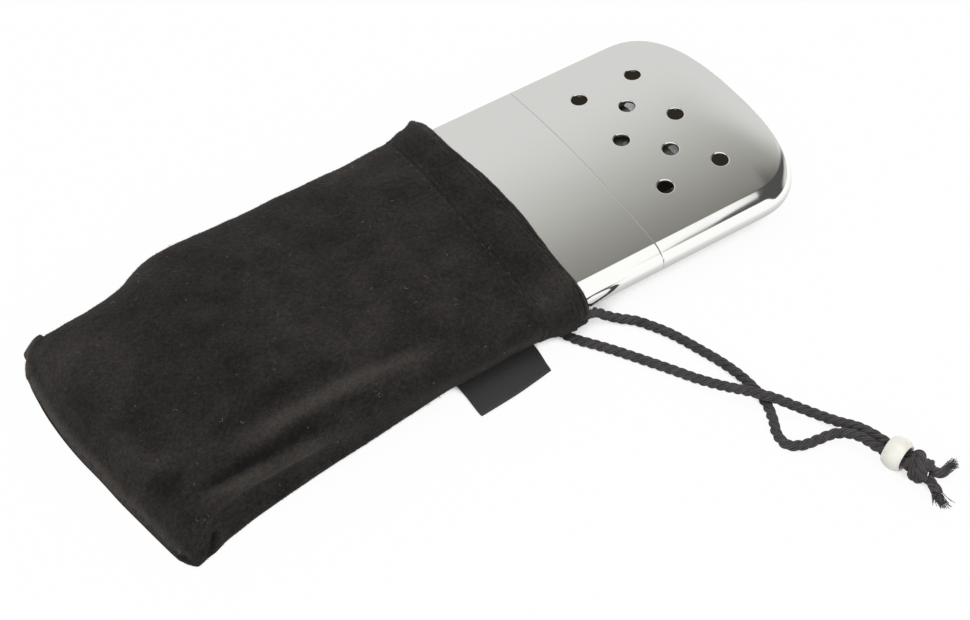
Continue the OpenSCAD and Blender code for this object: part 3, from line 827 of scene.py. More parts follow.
        # the inner faces take the stained inside with its painted glow
        case.data.materials.append(STAINED_WITH_GLOW.material())
        stain_and_glow = (0, 1, 0, 0, 1, 0)
        part = np.repeat(np.array(stain_and_glow, np.int32), [len(block) for block in faces])
        case.data.polygons.foreach_set("material_index", part)
        return case


# ---- Studio ----


@dataclass(frozen=True)
class Viewpoint:
    """The photograph's view: a camera that looks down at the pouch from its near left."""

    azimuth: float = -29.18
    elevation: float = 48.83
    roll: float = -3.99
    distance: float = 456.72
    target: tuple[float, float, float] = (39.54, -16.19, 0.3)
    lens: float = 74.26
    sensor: float = 36
    clip: tuple[float, float] = (0.01, 20)

    def build(self) -> bpy.types.Object:
        """Makes the scene's camera."""
        a, e, r = (math.radians(v) for v in (self.azimuth, self.elevation, self.roll))
        back = Vector((math.sin(a) * math.cos(e), -math.cos(a) * math.cos(e), math.sin(e)))
        right = (-back).cross(Vector((0, 0, 1))).normalized()
        up = right.cross(-back)
        side = math.cos(r) * right + math.sin(r) * up
        top = -math.sin(r) * right + math.cos(r) * up
        data = bpy.data.cameras.new("camera")
        data.lens, data.sensor_width = self.lens, self.sensor
        data.clip_start, data.clip_end = self.clip
        camera = bpy.data.objects.new("camera", data)
        camera.matrix_world = Matrix((side, top, back)).transposed().to_4x4()
        camera.location = (Vector(self.target) + back * self.distance) * MM
        bpy.context.scene.collection.objects.link(camera)
        bpy.context.scene.camera = camera
        return camera


@dataclass(frozen=True)
class Softbox:
    """An area lamp, aimed at the object."""

    name: str
    place: tuple[float, float, float]
    size: tuple[float, float]
    power: float

    def build(self) -> bpy.types.Object:
        """Makes the lamp."""
        data = bpy.data.lights.new(self.name, "AREA")
        data.shape, data.energy = "RECTANGLE", self.power
        data.size, data.size_y = self.size
        lamp = bpy.data.objects.new(self.name, data)
        lamp.location = self.place
        aim = Vector((0.03, 0, 0)) - Vector(self.place)
        lamp.rotation_mode = "QUATERNION"
        lamp.rotation_quaternion = aim.to_track_quat("-Z", "Y")
        lamp.visible_glossy = False
        bpy.context.scene.collection.objects.link(lamp)
        return lamp


@dataclass(frozen=True)
class Studio:
    """A pale floor, a plain room and soft lamps."""

    floor_half: float = 3.0
    softboxes: tuple[Softbox, ...] = (
        Softbox("overhead_softbox", (0.1, 0.1, 1.3), (1.1, 1.1), 9),
        Softbox("near_softbox", (-0.3, -1.3, 0.9), (1.2, 0.6), 7),
    )

    def build(self) -> None:
        """Makes the floor, the world and the lamps."""
        self._floor()
        self._world()
        for box in self.softboxes:
            box.build()
        bpy.context.scene.view_settings.view_transform = "Standard"

    def _floor(self) -> None:
        """A white floor that shows to camera and to metal at full white, with the object's shadow."""
        h = self.floor_half / MM
        corners = np.array([[[-h, -h, 0], [h, -h, 0]], [[-h, h, 0], [h, h, 0]]], float)
        floor = Shape.grid(corners).build("studio_floor", VELVET)
        made = Recipe(bpy.data.materials.new("floor_white"))
        names = ("Is Camera Ray", "Is Glossy Ray", "Is Transmission Ray", "Ray Length")
        camera, glossy, passed, reach = made.rays(*names)
        seen = camera.most(glossy).most(passed)
        paint = made.node("ShaderNodeBsdfDiffuse", {"Color": (0.82, 0.82, 0.82, 1)})
        # metal sees it a little brighter, and dim close by, where the object shades it
        away = reach.step(-0.004, 0.026)
        mirrored = glossy * (0.22 - 0.85 * (1 - away))
        glow = made.node("ShaderNodeEmission", {"Color": 1 + mirrored})
        # right under the case, as seen through the vents, only its paint shows
        cover = made.node("ShaderNodeAmbientOcclusion", {"Distance": 0.02}, samples=8)
        clear = made.wire(cover.outputs["AO"]).step(0.08, 0.25)
        parts = {0: seen * clear * 0.95, 1: paint.outputs[0], 2: glow.outputs[0]}
        mixed = made.node("ShaderNodeMixShader", parts)
        made.node("ShaderNodeOutputMaterial", {"Surface": mixed.outputs[0]})
        floor.data.materials.clear()
        floor.data.materials.append(made.owner)
        floor.location.z = -0.0002

    def _world(self) -> None:
        """An even room for soft light; metal sees it bright low down and dim overhead."""
        world = bpy.data.worlds.new("room")
        bpy.context.scene.world = world
        made = Recipe(world)
        x, y, z = made.axes(made.node("ShaderNodeTexCoord").outputs["Generated"])
        camera, glossy = made.rays("Is Camera Ray", "Is Glossy Ray")
        overhead = (1 - y.step(0.2, 0.74)) * z.step(0.42, 0.70)
        sky = 0.79 - 0.585 * overhead
        behind = (0.26 - y).step(0, 0.08)
        above = z.step(-0.03, 0.0)
        seen = (1 - above) * 1.1 + above * (sky * (1 - behind) + 1.22 * behind)
        # a dark card beyond the lid's near corner: a thin line along the side that widens to the corner
        low = 0.50 - 0.55 * x.step(0.48, 0.72)
        top = 0.64 + 7.5 * (x - 0.42)
        near = 1 - (y - 0.05 * x.step(0.47, 0.52)).step(0.24, 0.34)
        card = (z - low).step(-0.04, 0.04) * (top - z).step(0, 0.06) * near
        card = card * x.step(0.28, 0.43) * (1 - 0.6 * x.step(0.86, 0.98))
        seen = seen * (1 - card) + 0.09 * card
        level = camera + (1 - camera) * (glossy * seen + (1 - glossy) * 0.55)
        warm = made.blend(overhead * glossy * (1 - behind), (1, 1, 1), (1, 0.985, 0.90))
        glow = made.node("ShaderNodeBackground", {"Color": warm, "Strength": level})
        made.node("ShaderNodeOutputWorld", {"Surface": glow.outputs[0]})


# ---- Cord, knot and bead ----


@dataclass(frozen=True)
class Lay:
    """How three strands lie in the twisted cord."""

    diameter: float = 2.4
    strands: int = 3
    strand_share: float = 0.5
    pitch: float = 6.2
    sides: int = 18
    step: float = 0.32

    def twist(self, knots: tuple | Array, start: tuple) -> Shape:
        """Winds the strands round a route, from a sideways direction at its first point."""
        route = smooth_line(self.sized(knots), self.step)
        line = route[:, :3]
        wide, high = route[:, 3] / self.diameter, route[:, 4] / self.diameter
        _, side, up = carried_frame(line, start)
        run = np.arange(len(line)) * self.step
        radius = self.diameter / 2 * self.strand_share
        out = self.diameter / 2 - radius
        a = np.arange(self.sides) * TURN / self.sides
        cords = []
        for k in range(self.strands):
            turn = -run / self.pitch * TURN + k * TURN / self.strands
            core = line + (out * np.cos(turn) * wide)[:, None] * side
            core = core + (out * np.sin(turn) * high)[:, None] * up
            along = unit(np.gradient(core, axis=0))
            flat = unit(side - (side * along).sum(1)[:, None] * along)
            rise = np.cross(along, flat)
            ring = (radius * wide)[:, None, None] * np.cos(a)[None, :, None] * flat[:, None]
            ring = ring + (radius * high)[:, None, None] * np.sin(a)[None, :, None] * rise[:, None]
            shape = Shape.grid(core[:, None] + ring, wrap=True, scale=(1, run[-1] / self.diameter))
            cords.append(shape.capped(len(line), self.sides))
        return Shape.join(cords)

    def sized(self, knots: tuple | Array) -> Array:
        """The route's points, with the full diameter where no width and height are given."""
        return np.array([(*knot, self.diameter, self.diameter)[:5] for knot in knots], float)

    def length(self, knots: tuple) -> float:
        """The route's length in millimetres."""
        return float(steps(smooth_line(self.sized(knots), self.step)).sum())


@dataclass
class Drawcord:
    """The drawcord's two legs, with the bead, the stopper knot and the frayed tails."""

    lay: Lay = field(default_factory=Lay)
    upper: tuple = (
        (50, -34.9, 8, 2.8, 0.66), (52.6, -35, 7, 2.6, 0.8), (54.8, -34.9, 6, 2.4, 1.1),
        (56.6, -34.4, 5.2, 2.4, 1.8), (58.2, -33.8, 4.1), (60, -34.6, 2.7), (62.3, -36.2, 1.7),
        (65.5, -39, 1.3), (67.6, -42.3, 1.25), (69.5, -45.9, 1.25), (71, -49.8, 1.25),
        (72.4, -54, 1.25), (74, -59, 1.25), (75.2, -64.5, 1.25), (75.6, -69.6, 1.25),
        (75.2, -74.4, 1.25), (73.6, -78.8, 1.25), (71.9, -82.6, 1.25), (72, -85.6, 1.25),
        (74.6, -87.6, 1.3), (78.2, -88.5, 1.6), (81.4, -89.6, 2.4), (83.6, -91.8, 3.3),
        (84.8, -94, 3.7), (86, -98, 3.7), (87.2, -101.8, 3.7), (88.4, -105.8, 3.6),
    )  # fmt: skip
    lower: tuple = (
        (50, -29.2, 0.6, 3.5, 0.5), (50.1, -31.6, 0.65, 3.2, 0.6), (50.6, -34, 0.9, 2.7, 1.2),
        (51.7, -36.4, 1.2), (53.4, -38.8, 1.25), (55.6, -41.9, 1.25), (59.9, -48.6, 1.25),
        (63.7, -54.8, 1.25), (67.2, -61, 1.5), (70.2, -66.4, 2.5), (72.6, -70.4, 3.5), (74.4, -73, 3.8),
        (76.6, -75.8, 3.5), (79, -78.6, 2.5), (81.4, -81.6, 1.6), (83.4, -84.8, 1.4), (85, -88, 1.9),
        (86.2, -91, 3), (87.1, -94, 3.7), (88.3, -98, 3.7), (89.5, -101.8, 3.7), (90.7, -105.8, 3.6),
    )  # fmt: skip
    bead_at: tuple = (88.35, -101.8, 3.7)
    bead_axis: tuple = (1.2, -4, 0)
    bead_r: float = 3.7
    bead_sides: int = 96
    bore_r: float = 2.5
    bore_edge: float = 0.35
    knot_at: tuple = (89.9, -107.1, 3.1)
    knot_r: float = 1.9
    fibres: int = 90
    fibre_r: float = 0.10
    tail_right: tuple = ((91.6, -108.6, 2.6), (93.4, -109.8, 2), (95.4, -110, 1.7), (97.4, -109.4, 1.5))
    tail_down: tuple = ((90, -109.6, 2.5), (90.2, -111.6, 1.9), (89.8, -113.4, 1.6), (88.9, -115.2, 1.4))

    def build(self) -> None:
        """Makes, dresses and declares every piece of the cord."""
        bead = self._bead()
        knot = self._knot()
        right = self._tail("frayed_tail_right", self.tail_right, 1.1, 11, "cord_tail_right")
        down = self._tail("frayed_tail_down", self.tail_down, 2.6, 12, "cord_tail_down")
        self._leg("drawcord_leg_upper", self.upper, "drawcord_upper_leg")
        self._leg("drawcord_leg_lower", self.lower, "drawcord_lower_leg")

    def _leg(self, name: str, knots: tuple, node: str) -> None:
        """Makes one leg and declares its real length."""
        long = self.lay.length(knots)
        leg = self.lay.twist(knots, (1, 0, 0)).build(name, CORD)
        declare(leg, "pouch", "cord", node)
        LOG.info("%s is %.1f mm long", name, long)

    def _bead(self) -> bpy.types.Object:
        """A turned ball with slightly flat ends, a rounded bore edge and a bore for both legs."""
        r, bore, edge = self.bead_r, self.bore_r, self.bore_edge
        rim = bore + edge
        lowest = math.acos(rim / (r - edge * 0.4))
        a = np.linspace(-lowest, lowest, 64)
        outer = np.stack([r * np.cos(a), r * np.sin(a)], -1)
        face = outer[-1, 1]
        b = np.linspace(0.2, math.pi / 2 + 0.2, 10)
        lip = np.stack([rim - edge * np.sin(b), face - edge + edge * np.cos(b)], -1)
        depth = np.linspace(face - edge, -face + edge, 16)
        bore_line = np.stack([np.full(len(depth), bore), depth], -1)
        profile = np.concatenate([outer, lip, bore_line[1:-1], (lip * [1, -1])[::-1]])
        turn = np.arange(self.bead_sides) * TURN / self.bead_sides
        axis, side, up = axes_round(self.bead_axis)
        radial = circle(turn, side, up)
        points = self.bead_at + profile[None, :, :1] * radial[:, None] + profile[None, :, 1:] * axis
        points = np.concatenate([points, points[:1]])
        bead = Shape.grid(points, wrap=True).build("turned_bead", GLAZE)
        declare(bead, "bead", "bead", "cord_bead")
        return bead

    def _knot(self) -> bpy.types.Object:
        """Turns of the cord drawn tight, with one turn crossing over the others."""
        axis, side, up = axes_round(self.bead_axis)
        t = np.linspace(0, 1, 40)
        angle = 0.6 + t * 2.35 * TURN
        rise = (t - 0.5) * 3.4
        coil = self.knot_at + self.knot_r * circle(angle, side, up) + rise[:, None] * axis
        over = np.linspace(0, 1, 14)
        swing = 0.3 + over * 2.6
        reach = self.knot_r + np.sin(over * math.pi)
        fall = (0.5 - over) * 4.6
        bridge = self.knot_at + reach[:, None] * circle(swing, side, up) + fall[:, None] * axis
        turns = [self.lay.twist(route, axis) for route in (coil, bridge)]
        knot = Shape.join(turns).build("drawn_knot", CORD)
        declare(knot, "pouch", "cord", "stopper_knot")
        return knot

    def _tail(self, name: str, knots: tuple, spread: float, seed: int, node: str) -> bpy.types.Object:
        """A short tail whose strands come apart into a brush of fibres."""
        rng = np.random.default_rng(seed)
        route = smooth_line(self.lay.sized(knots), self.lay.step)[:, :3]
        sideways = (0.3, 1, 0)
        brush = [self.lay.twist(knots[:-1], sideways)]
        _, side, up = carried_frame(route, sideways)
        side, up = side[-1], up[-1]
        for _ in range(self.fibres):
            start = route[int(len(route) * rng.uniform(0.25, 0.7))]
            start = start + (rng.normal(0, 0.42, 2) @ np.stack([side, up]))
            aim = rng.normal(0, 1, 2)
            end = route[-1] + spread * aim[0] * 0.55 * side + 0.25 * aim[1] * up
            end = end + (route[-1] - route[-4]) * rng.uniform(-0.6, 1.6)
            middle = (start + end) / 2 + rng.normal(0, 0.22, 3)
            bend = np.stack([start, middle, end])
            keep_above(bend, 0.16)
            line = smooth_line(bend, 0.35)
            thin = self.fibre_r * np.linspace(1, 0.55, len(line))
            brush.append(tube(line, thin, 5, (0.1, 0.2, 1)))
        tail = Shape.join(brush).build(name, FRAY)
        declare(tail, "pouch", "cord", node)
        return tail


# ---- The pouch ----


def lattice_noise(where: Array, size: float, seed: int) -> Array:
    """Smooth noise from -1 to 1 at places in a plane, with features of a size."""
    grid = np.random.default_rng(seed).uniform(-1, 1, (256, 256))
    at = where / size + 512
    cell = np.floor(at).astype(int)
    t = at - cell
    t = t * t * (3 - 2 * t)
    i, j = cell[..., 0] % 256, cell[..., 1] % 256
    i2, j2 = (i + 1) % 256, (j + 1) % 256
    low = grid[i, j] * (1 - t[..., 0]) + grid[i2, j] * t[..., 0]
    high = grid[i, j2] * (1 - t[..., 0]) + grid[i2, j2] * t[..., 0]
    return low * (1 - t[..., 1]) + high * t[..., 1]


def crumple(where: Array, size: float, seed: int, octaves: int = 3) -> Array:
    """Noise of several sizes, each half as large and half as strong as the one before."""
    return sum(lattice_noise(where, size / 2**k, seed + k) * 0.5**k for k in range(octaves))


def spread_out(points: Array) -> Array:
    """Places on the cloth as a plane: X, and Y with a share of the height for the steep sides."""
    return np.stack([points[..., 0], points[..., 1] + 0.6 * points[..., 2]], -1)


@dataclass(frozen=True)
class Fold:
    """A ridge, or with a negative height a crease, along a line on the cloth."""

    line: tuple
    height: float
    width: float
    fade: float = 5

    def lift(self, points: Array) -> Array:
        """How far the fold lifts each point along the cloth's normal."""
        knots = smooth_line(np.array(self.line, float), 1.0)
        run = np.linspace(0, 1, len(knots))
        best = np.full(len(points), FAR)
        at = np.zeros(len(points))
        for a, b, ra, rb in zip(knots[:-1], knots[1:], run[:-1], run[1:]):
            step = b - a
            t = np.clip((points - a) @ step / (step @ step), 0, 1)
            away = np.linalg.norm(points - a - t[:, None] * step, axis=1)
            closer = away < best
            best = np.where(closer, away, best)
            at = np.where(closer, ra + (rb - ra) * t, at)
        ends = np.minimum(at, 1 - at) * steps(knots).sum()
        return self.height * bell(best, 0, self.width) * ease(ends, -0.01, self.fade)


@dataclass
class Pouch:
    """The soft velvet pouch: body, hem band, end seam, label and sewing.

    A section across the pouch runs from the near foot over the top to the far foot, share 0 to
    1, and back under, share 1 to 2. Its shape comes from small tables over X.
    """

    end_x: float = -57.1
    body_to: float = 53.4
    wall: float = 0.45
    over: int = 250
    under: int = 34
    full_top: float = 15
    arch_power: float = 2.62
    body_tufts: int = 60000
    hem_tufts: int = 12000
    tuft_r: float = 0.04
    tuft_long: tuple[float, float] = (0.14, 0.42)
    hairs: int = 130
    hair_r: float = 0.035
    thread_r: float = 0.16
    # how far the end seam is drawn in, over Y
    end_line: tuple = (
        (-42, 8.4), (-37.2, 7.2), (-32.3, 6.2), (-25.3, 4.9), (-18.2, 3.6), (-10.5, 2.5),
        (-2.8, 1.2), (5.7, 0.3), (16.2, 0.1), (25, 1.1), (29, 2.8),
    )  # fmt: skip
    seam_share: tuple = ((-57.1, 1), (-50, 0.8), (-44, 0.5), (-36, 0.22), (-26, 0.05), (-18, 0), (60, 0))
    top: tuple = (
        (-57.1, 0.9), (-56.95, 1.9), (-56.6, 2.9), (-56, 3.8), (-55, 4.9), (-53, 7.3), (-50, 9.7),
        (-46, 11.4), (-42, 12.2), (-37, 12.7), (-32, 13.1), (-26.5, 14.1), (-20, 14.8), (-12, 15), (0, 15),
        (25, 15), (60, 15),
    )  # fmt: skip
    near_side: tuple = (
        (-57.1, 38.2), (-55.5, 40.4), (-53, 40.4), (-50, 39.4), (-46, 38.2), (-40, 36.6), (-32, 35.4),
        (-20, 34.8), (-5, 34.3), (20, 34.1), (40, 34.2), (60, 34.5),
    )  # fmt: skip
    near_foot: tuple = (
        (-57.1, 38.7), (-56.6, 40.4), (-56, 41.6), (-55.2, 42.4), (-54, 42.3), (-51, 41.8), (-47.6, 41.4),
        (-45, 40.8), (-42.6, 40.2), (-38, 39.5), (-32.8, 38.5), (-27.5, 37.7), (-22, 37), (-11.7, 35.8),
        (-1.2, 34.8), (9.8, 33.5), (20.9, 32.2), (30, 31.8), (44, 31.9), (47.6, 32.2), (51, 33),
        (55.4, 33.9), (60, 34.2),
    )  # fmt: skip
    near_touch: tuple = (
        (-57.1, 38), (-55.6, 40.8), (-52, 40.8), (-46, 39.6), (-38, 38), (-30, 36.8), (-10, 33.4), (5, 30.6),
        (20, 28.4), (40, 28.4), (44, 29), (48, 30.5), (52, 32), (56, 33), (60, 33.2),
    )  # fmt: skip
    far_side: tuple = (
        (-57.1, 31.2), (-55, 31), (-53.6, 30.4), (-50.6, 29.4), (-47.6, 28.6), (-42.6, 28.4),
        (-37.3, 28.7), (-32, 29.6), (-29, 30.3), (-26, 31.9), (-23, 33.1), (-20, 33.8), (-17, 34.1),
        (0, 34.1), (23, 34.2), (34.6, 34.6), (40, 35.1), (45, 35.4), (60, 35.6),
    )  # fmt: skip
    folds: tuple = (
        Fold(
            ((-36, -29.5, 11.6), (-27.9, -28.8, 12.6), (-22.4, -28.4, 12.9), (-14.5, -27.8, 13),
             (-4.6, -27.6, 13), (2.3, -27.9, 13), (16, -29, 12.6), (28, -30.2, 12.2)), 1.15, 2.0, 22,
        ),
        Fold(((-34, -24, 13), (-14.5, -21.4, 14.2), (2, -21.6, 14.2)), -0.4, 2.6),
        Fold(((-34, -32.2, 10.4), (-20, -31.2, 11.4), (-8, -30.6, 11.7), (4, -30.8, 11.5)), -0.4, 1.4),
        Fold(
            ((-46, -30, 8.8), (-42.5, -31.4, 9), (-37.7, -31.8, 10.2), (-28.6, -32.2, 10.8),
             (-19.4, -32.3, 10.6), (-4, -32.4, 10.4)), -0.8, 1.2, 12,
        ),
        Fold(
            ((-46, -34, 7.6), (-42, -34.6, 8.2), (-37.7, -34.6, 8.8), (-28.6, -34.4, 9.2), (-19.4, -34, 9.2),
             (-4, -33.6, 9)), 1.0, 1.7, 14,
        ),
        Fold(((-47, -22, 11.6), (-45, -27, 10.6), (-43, -30, 9.2)), -0.6, 4.4, 3),
        Fold(((-50, -6, 11), (-48.6, -14, 11.6), (-46, -21, 12), (-40, -25, 12.6)), 0.9, 2.6),
        Fold(((-44.6, -43, 0.8), (-42.4, -40.6, 2.4), (-40.4, -38.8, 3.8)), -0.9, 0.8, 1),
        Fold(((-50.2, -39.6, 0.6), (-48.4, -39.4, 2.2), (-46.6, -38.6, 3.6)), -0.5, 0.7, 1),
        Fold(((-56.4, 22.5, 3.4), (-55, 26.8, 4), (-53.2, 29.2, 4.4), (-49, 29, 5.4)), 1.0, 1.8, 0.6),
        Fold(((-57.0, 20, 1.1), (-57.1, 5, 1.1), (-56, -12, 1.1), (-53.4, -30, 1.1)), -0.35, 0.5),
        Fold(((42, -33, 10), (38, -33.6, 9.4), (31, -34, 8.6)), -0.4, 1.4),
        Fold(((41.5, 22, 14.6), (35, 21, 14.8), (28, 22, 14.8)), 0.3, 2.2),
        Fold(((42, -12, 15.2), (36, -11, 15.2), (29, -12.4, 15.2)), 0.3, 2.4),
        Fold(((-52, 18, 9), (-46, 16, 13), (-38, 17, 14.4)), 0.5, 3),
    )
    # the hem band: where it ends over the section's share, and its thickness over its own width
    mouth: tuple = (
        (0, 55.6), (0.12, 55.6), (0.25, 54.9), (0.42, 55.6), (0.55, 55.3), (0.72, 53.9), (0.84, 54.2),
        (1, 55.8), (1.4, 55.6), (2, 55.6),
    )  # fmt: skip
    hem_from: float = 43.9
    hem_cols: int = 300

    def build(self) -> None:
        """Makes, dresses and declares every piece of the pouch."""
        self._body()
        self._hem()
        self._label()
        self._sewing()

    # -- the section --

    def section(self, x: Array, share: Array) -> Array:
        """The base surface of the cloth's outside, without folds: a row of points for each x.

        x are places along the pouch, before the end seam's curve.
        """
        top, side, far = table(self.top, x), table(self.near_side, x), table(self.far_side, x)
        foot, touch = table(self.near_foot, x), table(self.near_touch, x)
        lean = table(self.seam_share, x)
        upper = np.minimum(top / self.full_top, 1)
        girth = SEAM_Z * upper
        rows = []
        a = np.linspace(0, math.pi, 61)[1:-1]
        power = 2 / self.arch_power
        arch_y, arch_z = -signed_power(np.cos(a), power), np.sin(a) ** power
        for i in range(len(x)):
            w = np.where(arch_y < 0, side[i], far[i])
            arch = np.stack([arch_y * w, girth[i] + (top[i] - girth[i]) * arch_z], -1)
            low = min(1.3, 0.3 * top[i])
            near = [(-touch[i], GROUND), (-touch[i] * 0.4 - foot[i] * 0.6, low * 0.12), (-foot[i], low)]
            near.append((-foot[i] * 0.4 - side[i] * 0.6, low + (girth[i] - low) * 0.45))
            turned = [(far[i], girth[i] * 0.72), (far[i] - 0.5 * upper[i], girth[i] * 0.4)]
            turned += [(far[i] - 1.7 * upper[i], girth[i] * 0.14), (far[i] - 3.6 * upper[i], GROUND)]
            knots = np.concatenate([near, [(-side[i], girth[i])], arch, [(far[i], girth[i])], turned])
            at = run_along(knots)
            curve = hermite(at, knots, np.linspace(0, at[-1], 600))
            curve = np.concatenate([curve, np.zeros((600, 1))], 1)
            over = evenly(curve, np.clip(share, 0, 1))
            back = np.clip(share - 1, 0, 1)
            under = curve[-1] + (curve[0] - curve[-1]) * back[:, None]
            row = np.where((share > 1)[:, None], under, over)[:, :2]
            along = x[i] + lean[i] * self.drawn(row[:, 0])
            rows.append(np.stack([along, row[:, 0], np.maximum(row[:, 1], GROUND)], -1))
        return np.array(rows)

    @staticmethod
    def outward(points: Array) -> Array:
        """Normals of a surface given as rows round the pouch, pointing out of it."""
        down = np.gradient(points, axis=0)
        across = np.gradient(points, axis=1)
        return unit(np.cross(down, across))

    def shares(self) -> Array:
        """Shares of the section at the mesh's columns, over the top and back under."""
        under = 1 + np.arange(self.under) / self.under
        return np.concatenate([np.linspace(0, 1, self.over, endpoint=False), under])

    def _lifted(self, base: Array, share: Array) -> tuple[Array, Array, Array]:
        """How folds and crumples shape the cloth.

        Gives each point's lift along the outward normal, how free the cloth is of the warmer
        there, 0 to 1, and the pile's tone, which holds painted highlight and painted shade.
        """
        flat = base.reshape(-1, 3)
        fold = sum(fold.lift(flat) for fold in self.folds)
        plane = spread_out(flat)
        soft = ease(flat[:, 2], 0.4, 2.5) * ease(flat[:, 0] - self.end_x, 0.3, 3)
        lift = fold + soft * (0.30 * crumple(plane, 13, 3) + 0.08 * crumple(plane, 2.6, 9, 2))
        free = ease(-flat[:, 0], 36.5, 40)
        lift = np.maximum(lift, -0.4 - 0.9 * free) * ease(flat[:, 2], 0.02, 0.5)
        lift = np.where(flat[:, 0] > 42, lift * (1 - ease(flat[:, 0], 42, 44.5)) - 0.04, lift)
        lift = np.where(share[None, :] > 1, 0, lift.reshape(base.shape[:2]))
        # painted sheen on the rolled rim just past the end seam
        past_seam = flat[:, 0] - self.end_x - self.drawn(flat[:, 1]) - 0.5
        rim = np.exp(-(past_seam**2) / 0.9) * ease(flat[:, 2], 1.4, 2.2)
        # tone: painted highlight on fold crests and painted shade in creases, the rim's painted sheen, and
        # random clouds
        tone = np.clip(0.5 * fold, -0.5, 0.6) + 0.7 * rim + 0.12 * crumple(plane, 20, 77)
        return lift, free.reshape(base.shape[:2]), tone.reshape(base.shape[:2])

    def drawn(self, y: Array) -> Array:
        """How far the end seam is drawn in at a place across."""
        return table(self.end_line, y)

    def _body(self) -> None:
        """One closed cloth: the outside with its folds, turned in at the mouth to a plain inside."""
        share = self.shares()
        seam = [0, 0.12, 0.24, 0.34, 0.42, 0.5, 0.58, 0.7, 0.85, 1.05, 1.3, 1.6, 1.95, 2.35, 2.8, 3.3]
        evenly_on = np.arange(self.end_x + 3.8, self.body_to, 0.48)
        x = np.concatenate([self.end_x + np.array(seam), evenly_on, [self.body_to]])
        base = self.section(x, share)
        lift, _, tone = self._lifted(base, share)
        outer = base + self.outward(base) * lift[..., None]
        keep_above(outer, GROUND)
        inside = self.section(np.linspace(self.body_to, self.end_x + 3.4, 90), share)
        lift, free, _ = self._lifted(inside, share)
        depth = np.minimum(lift, 0) * free - self.wall
        inside = inside + self.outward(inside[::-1])[::-1] * depth[..., None]
        points = np.concatenate([outer, inside])
        shape = Shape.grid(points, wrap=True, flip=True)
        shape.tone = np.concatenate([tone, np.zeros_like(lift)]).ravel()
        body = shape.capped(len(points), len(share), True).build("velvet_pouch_body", VELVET)
        declare(body, "pouch", "velvet", "pouch_upper_panel", "pouch_lower_panel")
        self._fuzz("pouch_pile", outer, share, tone, self.body_tufts, 21)
        self._lint(outer, share)

    def _fuzz(self, name: str, rows: Array, share: Array, tone: Array, count: int, seed: int) -> None:
        """Fine tufts of the pile as one piece, three-sided needles that lean in swirls.

        They stand on rows round the pouch and take the cloth's tone; none stand on the underside.
        """
        rng = np.random.default_rng(seed)
        normals = self.outward(rows)
        last = int((share < 1).sum()) - 2
        step_x = np.linalg.norm(np.diff(rows, axis=0), axis=-1)[:, :last]
        step_y = np.linalg.norm(np.diff(rows, axis=1), axis=-1)[:-1, :last]
        weight = (step_x * step_y).ravel()
        pick = rng.choice(len(weight), count, p=weight / weight.sum())
        i, j = pick // last, pick % last
        u, v = rng.uniform(0, 1, (2, count, 1))
        root = rows[i, j] + u * (rows[i + 1, j] - rows[i, j]) + v * (rows[i, j + 1] - rows[i, j])
        normal = normals[i, j]
        swirl = math.pi * (1 + crumple(spread_out(root), 5, 61, 2))
        lean = np.stack([np.cos(swirl), np.sin(swirl), np.zeros(count)], -1) * 0.35
        aim = unit(normal * 0.8 + lean + rng.normal(0, 0.35, (count, 3)))
        side = unit(np.cross(aim, rng.normal(0, 1, (count, 3))))
        up = np.cross(aim, side)
        long = rng.uniform(*self.tuft_long, (count, 1))
        a = np.arange(3) * TURN / 3
        foot = root - normal * 0.05
        ring = foot[:, None] + self.tuft_r * circle(a[None], side[:, None], up[:, None])
        points = np.concatenate([ring, (foot + aim * long)[:, None]], 1)
        keep_above(points, GROUND)
        base = np.arange(count)[:, None] * 4
        faces = np.concatenate([base + [a, b, 3] for a, b in ((0, 1), (1, 2), (2, 0))])
        own = np.repeat(tone[i, j] + 0.25, 4)
        piece = Shape(points.reshape(-1, 3), [faces], None, own).build(name, VELVET)
        declare(piece, "pouch", "velvet")

    def _lint(self, rows: Array, share: Array) -> None:
        """Pale hairs that the pile has caught, each a short curl on the surface."""
        rng = np.random.default_rng(5)
        normals = self.outward(rows)
        last = int((share < 1).sum()) - 2
        curls = []
        for _ in range(self.hairs):
            i, j = rng.integers(6, len(rows) - 6), rng.integers(int(last * 0.06), last)
            centre, normal = rows[i, j], normals[i, j]
            side = unit(np.cross(normal, rng.normal(0, 1, 3)))
            up = np.cross(normal, side)
            turn = rng.uniform(0.5, 4) * np.linspace(0, 1, 9)
            r = rng.uniform(0.12, 0.5)
            curl = centre + normal * 0.32 + r * circle(turn, side, up)
            curls.append(tube(curl, self.hair_r, 4, normal))
        piece = Shape.join(curls).build("caught_lint", LINT)
        declare(piece, "pouch", "velvet")

    def _hem(self) -> None:
        """The folded band round the mouth: a casing with the cord's channel inside."""
        share = np.linspace(0.035, 1.96, self.hem_cols)
        near_end = ease(share, 0.035, 0.055) * 0.7 + 0.3
        far_bulge, near_bulge = bell(share, 0.86, 0.09), bell(share, 0.17, 0.05)
        height = (1.45 - 0.3 * far_bulge + 0.25 * near_bulge) * near_end
        height = np.where(share > 1, 0.62, height)
        height = np.where((share > 0.97) & (share <= 1.03), 1.0, height)
        mouth = table(self.mouth, share)
        wide = mouth - self.hem_from
